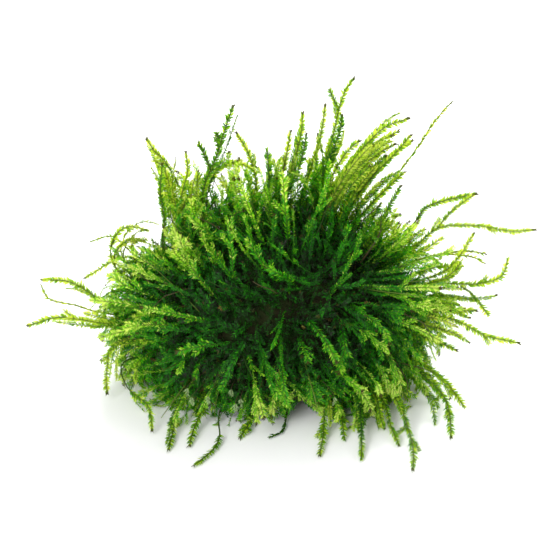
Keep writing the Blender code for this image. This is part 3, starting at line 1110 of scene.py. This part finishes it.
COATS = (
    Coat(
        "matting", tufts=1500, per_tuft=2, layer=(0.84, 0.98), length=(3.5 * MM, 7 * MM),
        style=LeafStyle(length=0.7 * MM, spacing=0.34 * MM, spread=1.0, stem=0.07 * MM),
        spread=0.06, stand=0.35, lie=0.35, disorder=0.9, reach=(0.95, 1.06), points=4,
        root_tone=(0.08, 0.40), tip_tone=(0.17, 0.52), old=0.02, near_partings=27 * MM,
    ),
    Coat(
        "undercoat", tufts=800, per_tuft=3, layer=(0.78, 0.92), length=(7 * MM, 13 * MM),
        style=LeafStyle(length=1.15 * MM, spacing=0.5 * MM, stem=0.10 * MM),
        spread=0.08, stand=0.60, lie=0.45, disorder=0.65, reach=(0.92, 1.05), points=5,
        root_tone=(0.03, 0.26), tip_tone=(0.10, 0.56), old=0.015, gaps=-0.55,
    ),
    Coat(
        "fronds", tufts=640, per_tuft=3, layer=(0.82, 1.0), length=(12 * MM, 24 * MM),
        style=LeafStyle(length=0.95 * MM, spacing=0.38 * MM, spread=0.82, stem=0.10 * MM),
        spread=0.09, stand=0.25, lie=1.0, disorder=0.36, reach=(0.96, 1.18), top_reach=0.3,
        root_tone=(0.10, 0.42), tip_tone=(0.22, 0.66), dark_tips=0.4, gaps=-0.22,
        branching=Branching(0, 3, angle=0.55, length=0.24), shorter_inside=0.5,
    ),
    Coat(
        "rim_fronds", tufts=300, per_tuft=1, layer=(0.86, 1.0), length=(13 * MM, 24 * MM),
        style=LeafStyle(length=1.2 * MM, spacing=0.36 * MM, spread=0.82, stem=0.12 * MM),
        spread=0.05, stand=0.85, lie=0.6, disorder=0.30, reach=(1.12, 1.36), top_reach=0.45,
        root_tone=(0.12, 0.46), tip_tone=(0.22, 0.78), dark_tips=0.5, points=9,
        branching=Branching(1, 5, angle=0.65, length=0.28),
    ),
    Coat(
        "bare_threads", tufts=120, per_tuft=1, layer=(0.86, 1.0), length=(12 * MM, 24 * MM),
        style=LeafStyle(stem=0.2 * MM), habit=Habit.BARE,
        spread=0.05, stand=0.8, lie=0.6, disorder=0.45, reach=(1.10, 1.32), top_reach=0.2,
        root_tone=(0.05, 0.55), tip_tone=(0.10, 0.76), old=0.4, points=9,
    ),
)


@dataclass
class BleachedShoots:
    """Short shoots with pale dead leaves that hang low on the front of the cushion."""

    # How far right and how far up each tip is, in millimetres, as seen from the front
    spots: tuple[Range, ...] = (
        *((-22.1, -2.6), (-21.2, -4.8), (-18.1, -4.5), (-11.6, -2.8)),
        *((-10.8, -5.5), (-9.8, -5.0), (12.4, -4.6)),
    )
    scatter: float = 0.35
    front: float = -26.0
    bend: Spot = (0.0, 0.2, 2.6)
    root_share: float = 0.75
    points: int = 10
    tone: float = 0.99
    facing: Spot = (0.0, -0.9, 0.4)
    unlike: float = 0.2
    style: LeafStyle = LeafStyle(
        length=1.0 * MM, spacing=0.3 * MM, spread=0.75, lift=0.5, stem=0.10 * MM, leafless=0.8
    )

    def build(self, grower: Grower) -> None:
        """Make the shoots as one piece.

        Args:
            grower: What grows them.
        """
        middle = np.array(CUSHION.middle)
        paths = []
        for right, up in self.spots:
            height = (up - self.front * math.sin(ELEVATION)) / math.cos(ELEVATION)
            spot = np.array([right, self.front, height])
            tip = (spot + grower.rng.normal(0, self.scatter, 3)) * MM
            bend = tip + np.array(self.bend) * MM
            root = middle + self.root_share * (bend - middle)
            paths.append(smooth_route(np.array([root, bend, tip]), self.points))
        count = len(paths)
        tone, ones = np.full(count, self.tone), np.ones(count)
        facing = unit(np.array(self.facing) + grower.rng.normal(0, self.unlike, (count, 3)))
        strands = Strands(np.array(paths), facing, tone, tone, 0 * tone, ones, ones)
        mesh = MossMesh("bleached_shoots")
        grower.grow(mesh, strands, self.style)
        mesh.finish(grower.material, CUSHION_NODE)


@dataclass(frozen=True)
class LongShoot:
    """The points that a long shoot grows through, in millimetres, and its look."""

    route: Route
    tone: float = 0.55
    beside: int = 1
    beside_length: Range = (0.6, 0.92)
    leafless: float = 0.0
    sides: tuple[Route, ...] = ()


# The routes run from inside the cushion to the tip, along the plain solids or close to them
LONG_SHOOTS: dict[str, tuple[LongShoot, ...]] = {
    "shoot_left": (
        LongShoot(((-32, 0, 17), (-43, -1, 17.4), (-53, -3, 20), (-61, -4, 18.2)), 0.70, 3),
        LongShoot(((-31, 10, 14), (-42, 12, 16), (-51, 13, 21), (-58, 14, 21)), 0.68),
        LongShoot(
            ((-30, 9, 22), (-40.2, 10, 28), (-40.6, 10, 34), (-37, 9.5, 38), (-32, 9, 37)), 0.66, 4,
            (0.8, 1.0), sides=(((-35, 9, 27), (-36, 9.5, 33), (-32.5, 9.5, 34.5)),)
        ),
        LongShoot(((-30, -6, 16), (-40, -9, 16), (-42, -10, 9), (-42, -10, 3)), 0.68),
        LongShoot(
            ((-29, -9, 14), (-38, -15, 14), (-37, -18, 9), (-32, -22, 6), (-31, -26, 1.5)), 0.54, 0,
            leafless=0.6
        ),
    ),
    "stem_left": (
        LongShoot(((-31, 5, 15), (-44, 7, 16), (-50, 7, 18), (-56, 8, 19), (-58, 8, 23)), 0.80),
        LongShoot(((-30, 13, 22), (-38, 15, 30), (-41, 16, 32), (-46, 17, 30)), 0.90),
    ),
    "shoot_front": (
        LongShoot(((-20, -10, 9), (-25, -21, 4.5), (-26, -27, 2), (-27, -34, 0.7)), 0.50),
        LongShoot(((-15, -9, 9), (-19, -21, 4.5), (-21, -26, 2), (-22, -32, 0.7)), 0.50),
        LongShoot(
            ((-12, -9, 7), (-15, -21, 3), (-14.8, -28.5, 1.5), (-16.4, -34.2, 0.8),
             (-20.9, -42, 0.8)), 0.54, 0, leafless=0.57
        ),
        LongShoot(((-3, -10, 7), (-7, -21, 2.5), (-10, -28, 0.7)), 0.46),
        LongShoot(((9, -10, 10), (10, -20, 6), (10, -27, 2), (9, -37, 0.7)), 0.52),
        LongShoot(((11, -9, 9), (14, -21, 4), (15, -29, 0.7)), 0.50),
        LongShoot(((14, -8, 11), (18, -20, 7), (19, -28, 3), (19, -39, 0.7)), 0.50, 4),
        LongShoot(((17, -6, 10), (24, -18, 6), (26, -25, 2.5), (28, -32, 0.7)), 0.56, 6),
        LongShoot(
            ((20, -5, 13), (26.5, -16, 9), (29.4, -24, 4), (31.3, -34, 1.2), (31.2, -44, 0.7)),
            0.52, 0
        ),
    ),
    "stem_front": (LongShoot(((2, -12, 5), (1, -20, 1.5), (0, -25, 0.7), (-3, -28, 0.7)), 0.35),),
    "shoot_right": (
        LongShoot(
            ((23, -2, 10), (33, -9, 8), (38.4, -14, 5), (40.2, -20, 3), (40.5, -28, 0.7)), 0.50, 4
        ),
        LongShoot(((24, 2, 10), (32, -3, 8.5), (39, -7, 5), (44, -13, 0.7)), 0.60),
        LongShoot(
            ((24, 0, 19), (35, -2, 20), (42, -4, 19.5), (49, -6, 16.5), (57, -8, 15.6)), 0.68, 5,
            (0.5, 0.75)
        ),
        LongShoot(((24, 2, 16), (35, 3, 18), (47, 4, 18)), 0.60, 5),
        LongShoot(((22, -4, 16), (33, -7, 17), (42, -9.5, 14.5)), 0.54),
        LongShoot(
            ((24, 5, 20), (37, 7, 23.4), (47, 9, 22.6), (53, 9.5, 24.4), (54.5, 10, 29)), 0.62, 3,
            sides=(((43, 8.2, 22.6), (46, 8.5, 20), (50, 9, 14)),)
        ),
        LongShoot(
            ((23, 8, 20), (35, 11, 23), (40, 12, 25), (43.5, 13, 29), (46.5, 14, 34)), 0.66, 5,
            (0.65, 0.95)
        ),
        LongShoot(
            ((20, 8, 27), (32, 9, 33), (38, 9, 38), (47, 8, 39), (55, 7, 38), (61, 6, 39)), 0.66, 7,
            (0.35, 0.48), sides=(((37.5, 9, 37.8), (41, 12, 41), (46, 14, 44)),)
        ),
        LongShoot(
            ((19, 12, 27), (31, 15, 35), (34.5, 16, 39.5), (39, 17, 41), (47, 18, 42.5)), 0.62, 0,
            leafless=0.5
        ),
    ),
    "stem_right": (
        LongShoot(
            ((24, 11, 24), (36, 15, 27), (45, 17, 26), (49, 18, 23.5)), 0.70,
            sides=(((38, 15.5, 27.2), (44, 16.5, 27.6), (49, 17, 26.7)),)
        ),
    ),
    "shoot_top": (
        LongShoot(((14, 2, 30), (21, 2, 39), (25, 2, 46), (28.5, 2, 53)), 0.42, 6),
        LongShoot(
            ((6, 4, 35), (12, 6, 48), (17, 7, 57), (24, 8, 65), (30.5, 8, 68)), 0.64, 11, sides=(
                ((10, 6, 44), (16, 8, 51), (22, 9, 57), (27, 10, 60)),
                ((9, 7, 42), (13, 9, 50), (18, 10, 57), (22, 11, 61)),
                ((8, 7, 44), (11.5, 8, 51), (15, 8, 58), (18.5, 8, 62)),
                ((13, 8, 50), (19.5, 9, 56.5), (24.5, 9, 61.8), (28, 9, 64)),
            )
        ),
        LongShoot(
            ((11, 6, 34), (19, 9, 48), (26, 11, 56), (31.5, 12, 60)), 0.60, 12, sides=(
                ((17, 8.5, 45), (22, 9, 52), (27, 9.5, 57.5), (31, 10, 62.5)),
                ((17, 9, 39), (23, 10, 45.5), (29.5, 11, 52)),
                ((15, 10, 42), (21, 12, 50), (28, 13, 57)),
            )
        ),
        LongShoot(
            ((3, 10, 34), (8, 14, 47), (12, 17, 57), (13.5, 18, 64), (15, 19, 69), (17.5, 20, 73)),
            0.56, 3, sides=(((13.8, 18.2, 65), (12.5, 19, 67.5), (11.5, 19.5, 70)),)
        ),
        LongShoot(((3, 6, 34), (8, 9, 47), (12, 10, 57), (14, 10, 64), (14.5, 10, 68)), 0.38),
        LongShoot(((1, 13, 33), (6.5, 19, 47), (9.5, 21.5, 57), (10.5, 23, 64)), 0.64),
        LongShoot(((-2, 8, 34), (2, 12, 50), (4.6, 14, 60), (5, 14, 66.5)), 0.56, 4),
        LongShoot(((-3, 11, 34), (0.8, 17, 51), (2.2, 18, 59.5)), 0.66, 2),
        LongShoot(((-2, 3, 34), (1, 5, 48), (4.5, 6, 57), (6, 6, 65)), 0.40),
        LongShoot(((-4, 1, 34), (-3, 2, 48), (-3, 2, 56), (-3.5, 2, 63)), 0.40),
        LongShoot(((-6, 10, 33), (-6, 16, 46), (-8, 19, 53), (-11, 20, 58)), 0.74),
        LongShoot(
            ((-18, 4, 32), (-19, 8, 47), (-15.5, 9.5, 57), (-13.5, 10, 64), (-11.5, 10, 70.5)), 0.46,
            sides=(
                ((-14.5, 9.8, 60.5), (-15.5, 10.5, 63)),
                ((-17, 9, 53.5), (-18.5, 10.5, 57), (-20, 11, 60)),
            )
        ),
        LongShoot(
            ((-20, 7, 30), (-24, 11, 43), (-22.5, 11.5, 52), (-23, 12, 57)), 0.64, 7, (0.6, 0.85),
            sides=(((-21, 8, 36), (-20.5, 9, 46), (-20, 9.5, 53)), ((-22, 9, 38), (-18, 10, 50)))
        ),
        LongShoot(
            ((-20, 12, 28), (-26, 17, 40), (-28, 16.5, 50), (-32.5, 16, 58.5)), 0.68, 8, (0.6, 0.85),
            sides=(((-24, 16, 44), (-27.5, 16, 51.5), (-31, 16, 55.5)),)
        ),
        LongShoot(((-21, 1, 25), (-28, 2, 34), (-28, 3.5, 42), (-29, 4, 50), (-28.5, 4, 58)), 0.48),
        LongShoot(((-16, 13, 27), (-19, 21, 38), (-17, 23, 44), (-12, 24, 48), (-7, 24, 46)), 0.72),
    ),
    "stem_top": (
        LongShoot(((12, 8, 33), (25, 12, 47), (32, 14, 56), (37, 15, 64), (41, 16, 68.5)), 0.70),
    ),
    "shoot_back": (
        LongShoot(((-24, 14, 20), (-37, 24, 22), (-48, 28, 14)), 0.62),
        LongShoot(((-19, 17, 16), (-31, 31, 14), (-38, 40, 4)), 0.56),
        LongShoot(((-14, 18, 22), (-20, 33, 25), (-24, 43, 20)), 0.60),
        LongShoot(((-6, 19, 12), (-9, 33, 9), (-10, 44, 2)), 0.52),
        LongShoot(((2, 18, 24), (4, 33, 27), (6, 42, 24)), 0.60),
        LongShoot(((9, 18, 13), (17, 33, 11), (20, 43, 3)), 0.54),
        LongShoot(((16, 16, 20), (27, 28, 23), (34, 35, 20)), 0.60),
        LongShoot(((21, 12, 12), (36, 24, 9), (46, 30, 2)), 0.54),
        LongShoot(((23, 11, 19), (36, 20, 21), (44, 25, 19)), 0.60),
        LongShoot(((-8, 14, 30), (-13, 28, 38), (-16, 36, 38)), 0.66),
        LongShoot(((6, 14, 30), (12, 28, 38), (15, 36, 39)), 0.66),
    ),
}


@dataclass
class LongShoots:
    """The long shoots and bare stems, each in place of its plain solid."""

    points: int = 24
    style: LeafStyle = LeafStyle(
        FINE_LEAF, 1.38 * MM, 0.35 * MM, spread=0.94, lift=0.42, stem=0.24 * MM, taper=0.75
    )
    beside_style: LeafStyle = replace(style, shape=SIMPLE_LEAF, stem=0.18 * MM)
    bare_style: LeafStyle = LeafStyle(
        SIMPLE_LEAF, 1.4 * MM, 0.9 * MM, spread=0.45, lift=0.8, stem=0.36 * MM, taper=0.45
    )
    bare_base: float = 0.26 * MM
    branching: Branching = Branching(1, 3, 0.25, 0.8, 0.6, 0.16, 5)
    # Tones: of a bare base, how much a tip is fresher, at the most, and a root's share
    base_tone: float = 0.25
    fresh: float = 0.05
    brightest: float = 0.70
    root_share: float = 0.75
    # How many tips are dark, also beside the long shoots, and how far down
    dark_tips: float = 0.75
    dark_beside: float = 0.3
    tip: float = 0.513
    drift: Range = (2 * MM, 5 * MM)
    inward: float = 0.9
    parting: Range = (0.3, 1.0)
    lowest: float = 0.7 * MM
    facing: Spot = (0.0, -0.7, 0.7)
    # How much the long shoots' tones, facings and sizes vary, and those of the ones beside
    # them, whose roots are darker
    tones: float = 0.01
    facings: float = 0.22
    sizes: Range = (0.8, 1.05)
    root_sizes: Range = (0.4, 1.0)
    beside_tones: float = 0.06
    beside_facings: float = 0.4
    beside_sizes: Range = (0.6, 0.95)
    beside_root_sizes: Range = (0.5, 1.0)
    beside_root: float = 0.7

    def build(self, grower: Grower) -> None:
        """Make every long shoot and bare stem.

        Args:
            grower: What grows them.
        """
        for family, shoots in LONG_SHOOTS.items():
            habit = Habit(family.partition("_")[0])
            for number, shoot in enumerate(shoots, 1):
                self._one(f"{family}_{number}", shoot, habit, grower)

    def _one(self, node: str, shoot: LongShoot, habit: Habit, grower: Grower) -> None:
        """Make one shoot, with its forks and the shorter shoots beside it.

        Args:
            node: The solid that it takes the place of.
            shoot: Its route and look.
            habit: Whether it is leafy.
            grower: What grows it.
        """
        mesh = MossMesh(f"{node}_grown")
        strands = self._strands(shoot, habit, grower.rng)
        if habit is Habit.BARE:
            grower.grow(mesh, strands, self.bare_style)
            mesh.finish(grower.material, node)
            return
        stem = self.bare_base if shoot.leafless else self.style.stem
        grower.grow(mesh, strands, replace(self.style, leafless=shoot.leafless, stem=stem))
        parts = []
        if not shoot.leafless:
            parts.append(self.branching.grow(strands.take(np.array([0])), grower.rng))
        if shoot.beside:
            parts.append(self._beside(strands, shoot, grower.rng))
        for part in parts:
            grower.grow(mesh, part, self.beside_style)
        mesh.finish(grower.material, node)

    def _beside(self, strands: Strands, shoot: LongShoot, rng: Chance) -> Strands:
        """Lay out shorter shoots that leave the cushion together with a long one.

        Args:
            strands: The long shoot and its forks.
            shoot: How many shorter shoots it has, and how long they are.
            rng: The source of chance.

        Returns:
            The shorter shoots' paths.
        """
        count = shoot.beside
        share = np.linspace(0.0, 1.0, self.points)
        length = rng.uniform(*shoot.beside_length, (count, 1))
        which = np.zeros(self.points * count, dtype=int)
        place, _ = strands.at(which, (share * length).ravel())
        inward = self.inward * unit(np.array(CUSHION.middle) - strands.points[0, -1])
        drift = unit(rng.normal(0, 1, (count, 1, 3)) + inward)
        drift = drift * rng.uniform(*self.drift, (count, 1, 1))
        parted = between(self.parting, share)[None, :, None]
        points = place.reshape(count, self.points, 3) + drift * parted
        points[:, :, 2] = np.maximum(points[:, :, 2], self.lowest)
        tone = strands.tip_tone[0] + rng.normal(0, self.beside_tones, count)
        return Strands(
            points,
            unit(strands.facing[:1] + rng.normal(0, self.beside_facings, (count, 3))),
            tone * self.beside_root,
            tone,
            self.tip * (rng.uniform(0, 1, count) < self.dark_beside),
            rng.uniform(*self.beside_sizes, count),
            rng.uniform(*self.beside_root_sizes, count),
        )

    def _strands(self, shoot: LongShoot, habit: Habit, rng: Chance) -> Strands:
        """Lay out a long shoot and its forks.

        Args:
            shoot: The long shoot.
            habit: Whether it is leafy.
            rng: The source of chance.

        Returns:
            Their paths.
        """
        routes = [np.array(route, float) * MM for route in (shoot.route, *shoot.sides)]
        count = len(routes)
        fresh, root_share = (0.0, 1.0) if habit is Habit.BARE else (self.fresh, self.root_share)
        tone = np.full(count, min(shoot.tone + fresh, self.brightest))
        tone = tone + rng.normal(0, self.tones, count)
        facing = unit(np.array(self.facing) + rng.normal(0, self.facings, 3))
        dark_tip = self.tip if rng.uniform() < self.dark_tips else 0.0
        return Strands(
            np.array([smooth_route(route, self.points) for route in routes]),
            np.tile(facing, (count, 1)),
            np.full(count, self.base_tone if shoot.leafless else tone * root_share),
            tone,
            np.full(count, dark_tip),
            np.full(count, rng.uniform(*self.sizes)),
            np.full(count, rng.uniform(*self.root_sizes)),
        )


@dataclass(frozen=True)
class BedFinish:
    """Old moss and dead threads under the living shoots, near black: partly their own dark colour,
    partly painted shade deep inside the clump.
    """

    name: str = "old_moss_painted_shade"
    # Near-black greens and browns, partly the old moss's own colour and partly painted shade
    stops: Stops = (
        (0.35, (0.003, 0.007, 0.002)),
        (0.50, (0.014, 0.013, 0.004)),
        (0.68, (0.009, 0.030, 0.004)),
    )
    patches: Range = (140.0, 6.0)
    threads: Range = (1400.0, 3.0)
    relief: Range = (0.8, 0.4 * MM)
    roughness: float = 0.85
    gloss: float = 0.1

    def build(self) -> bpy.types.Material:
        """Make the material.

        Returns:
            A near-black material mottled green and brown, partly painted shade, with a rough tangled
            relief.
        """
        shading = Shading(self.name)
        place = shading.place()
        surface = {
            "Base Color": shading.ramp(self.stops, shading.noise(place, *self.patches)),
            "Normal": shading.relief(shading.noise(place, *self.threads), *self.relief),
            "Roughness": self.roughness,
            "Specular IOR Level": self.gloss,
        }
        shading.feed(shading.shader, surface)
        return shading.material


@dataclass
class MossBed:
    """The bed of old moss that the short shoots grow from, dark partly as painted shade deep inside
    the clump.
    """

    depth: float = 0.78
    underside: float = 4.5 * MM
    rough: float = 0.9 * MM
    grain: float = 2.2 * MM
    fractal: tuple[float, float, int] = (0.9, 2.0, 3)

    def build(self) -> None:
        """Make the bed as a lumpy dome that is cut off flat above the surface."""
        bm = bmesh.new()
        bmesh.ops.create_icosphere(bm, subdivisions=6, radius=1)
        outward = np.array([tuple(vertex.co) for vertex in bm.verts])
        places = CUSHION.surface(outward, self.depth)
        for vertex, place, out in zip(bm.verts, places, outward):
            grain = noise.fractal(Vector(place / self.grain), *self.fractal)
            vertex.co = Vector(place + out * grain * self.rough)
        cut = bmesh.ops.bisect_plane(
            bm,
            geom=bm.verts[:] + bm.edges[:] + bm.faces[:],
            plane_co=(0, 0, self.underside),
            plane_no=(0, 0, -1),
            clear_outer=True,
        )
        rim = [part for part in cut["geom_cut"] if isinstance(part, bmesh.types.BMEdge)]
        bmesh.ops.holes_fill(bm, edges=rim, sides=0)
        bmesh.ops.recalc_face_normals(bm, faces=bm.faces)
        install(settle(bm, "old_moss_painted_shade_bed", BedFinish().build()), CUSHION_NODE)


@dataclass(frozen=True)
class WoodFinish:
    """Dark, water-logged driftwood with paler weathered patches."""

    name: str = "driftwood"
    stops: Stops = ((0.36, (0.018, 0.010, 0.008)), (0.66, (0.085, 0.048, 0.030)))
    worn: Stops = ((0.58, (0.0, 0.0, 0.0)), (0.66, (1.0, 1.0, 1.0)))
    pale: Colour = (0.30, 0.34, 0.17)
    stretch: Spot = (90.0, 700.0, 700.0)
    grain: Range = (1.0, 8.0)
    patches: Range = (160.0, 4.0)
    relief: Range = (0.7, 0.5 * MM)
    roughness: float = 0.6

    def build(self) -> bpy.types.Material:
        """Make the material.

        Returns:
            A material with grain along X, cracks and pale patches.
        """
        shading = Shading(self.name)
        place = shading.place()
        along = {"Vector": place, "Scale": self.stretch}
        grain = shading.noise(shading.add("ShaderNodeMapping", "Vector", along), *self.grain)
        worn = shading.ramp(self.worn, shading.noise(place, *self.patches))
        wood = shading.ramp(self.stops, grain)
        surface = {
            "Base Color": shading.mix("MIX", wood, (*self.pale, 1.0), worn),
            "Normal": shading.relief(grain, *self.relief),
            "Roughness": self.roughness,
        }
        shading.feed(shading.shader, surface)
        return shading.material


@dataclass
class Driftwood:
    """The gnarled wood under the moss, with its flutes and grain cut finer."""

    node: str = "driftwood"
    cuts: int = 3
    groove: float = 0.7 * MM
    groove_size: float = 2.4 * MM
    stretch: float = 6
    ridges: tuple[float, float, int, float, float] = (0.9, 2.0, 4, 1.0, 2.0)
    shallow: float = 1.2
    # Grooves start above the flat underside, and have their full depth from here up
    from_height: float = 0.2 * MM
    full_height: float = 3 * MM

    def build(self) -> None:
        """Make the wood from a merged copy of its solid, cut into finer faces."""
        bm = bmesh.new()
        bm.from_mesh(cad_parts[self.node].data)
        bmesh.ops.remove_doubles(bm, verts=bm.verts, dist=0.01 * MM)
        bmesh.ops.subdivide_edges(bm, edges=bm.edges[:], cuts=self.cuts, use_grid_fill=True)
        bmesh.ops.triangulate(bm, faces=bm.faces[:])
        bm.normal_update()
        for vertex in bm.verts:
            if vertex.co.z > self.from_height:
                place = vertex.co / self.groove_size
                place.x /= self.stretch
                depth = min(1.0, vertex.co.z / self.full_height)
                cut = noise.ridged_multi_fractal(place, *self.ridges) - self.shallow
                vertex.co -= vertex.normal * max(0.0, cut) * self.groove * depth
        bmesh.ops.recalc_face_normals(bm, faces=bm.faces)
        install(settle(bm, "driftwood_grain", WoodFinish().build()), self.node)


@dataclass(frozen=True)
class Lamp:
    """One square soft light that faces the clump."""

    name: str
    place: Spot
    size: float
    power: float

    def build(self) -> None:
        """Hang the light."""
        light = bpy.data.lights.new(self.name, "AREA")
        light.shape = "SQUARE"
        light.size = self.size
        light.energy = self.power
        lamp = put(self.name, light)
        lamp.location = self.place
        lamp.rotation_euler = (-Vector(self.place)).to_track_quat("-Z", "Y").to_euler()


@dataclass(frozen=True)
class Studio:
    """The floor, the lights and the camera."""

    looks_at: Spot = (-1.1 * MM, 0.0, 29.3 * MM)
    distance: float = 2.5
    width_seen: float = 133 * MM
    sensor: float = 36.0
    clip: Range = (0.01, 50.0)
    floor_size: float = 6.0
    floor_colour: Colour = (0.96, 0.96, 0.96)
    floor_roughness: float = 0.95
    sky: float = 0.68
    lamps: tuple[Lamp, ...] = (
        Lamp("back_light", (0.12, 0.60, 0.60), 0.45, 11.0),
        Lamp("front_light", (-0.30, -0.75, 0.50), 0.40, 8.0),
    )

    def build(self) -> None:
        """Set the stage."""
        self._floor()
        self._sky()
        for lamp in self.lamps:
            lamp.build()
        self._camera()

    def _floor(self) -> None:
        """Lay the plain pale floor."""
        bm = bmesh.new()
        bmesh.ops.create_grid(bm, x_segments=1, y_segments=1, size=self.floor_size)
        shading = Shading("floor")
        surface = {
            "Base Color": (*self.floor_colour, 1.0),
            "Roughness": self.floor_roughness,
            "Specular IOR Level": 0.0,
        }
        shading.feed(shading.shader, surface)
        floor = put("floor", settle(bm, "floor", shading.material))

    def _sky(self) -> None:
        """Light the clump evenly from all sides."""
        world = bpy.data.worlds.new("studio")
        world.use_nodes = True
        background = world.node_tree.nodes["Background"]
        background.inputs["Color"].default_value = (1.0, 1.0, 1.0, 1.0)
        background.inputs["Strength"].default_value = self.sky
        bpy.context.scene.world = world

    def _camera(self) -> None:
        """Place the camera at the photo's viewing angle."""
        lens = bpy.data.cameras.new("camera")
        lens.sensor_width = self.sensor
        lens.lens = self.sensor * self.distance / self.width_seen
        lens.clip_start, lens.clip_end = self.clip
        camera = put("camera", lens)
        back = Vector((0, -math.cos(ELEVATION), math.sin(ELEVATION)))
        camera.location = Vector(self.looks_at) + back * self.distance
        camera.rotation_euler = (-back).to_track_quat("-Z", "Y").to_euler()
        bpy.context.scene.camera = camera


def main() -> None:
    """Build the studio, the wood and the moss, and report each piece."""
    logging.basicConfig(level=logging.INFO, format="%(message)s")
    bpy.context.scene.view_settings.view_transform = "Standard"
    Studio().build()
    Driftwood().build()
    MossBed().build()
    rng = np.random.default_rng(SEED)
    old = Grower(rng, MossFinish("moss_leaves", OLD_MOSS).build())
    for coat in COATS:
        coat.build(old)
    LongShoots().build(Grower(rng, MossFinish("shoot_leaves", YOUNG_MOSS).build()))
    BleachedShoots().build(old)


if __name__ == "__main__":
    main()
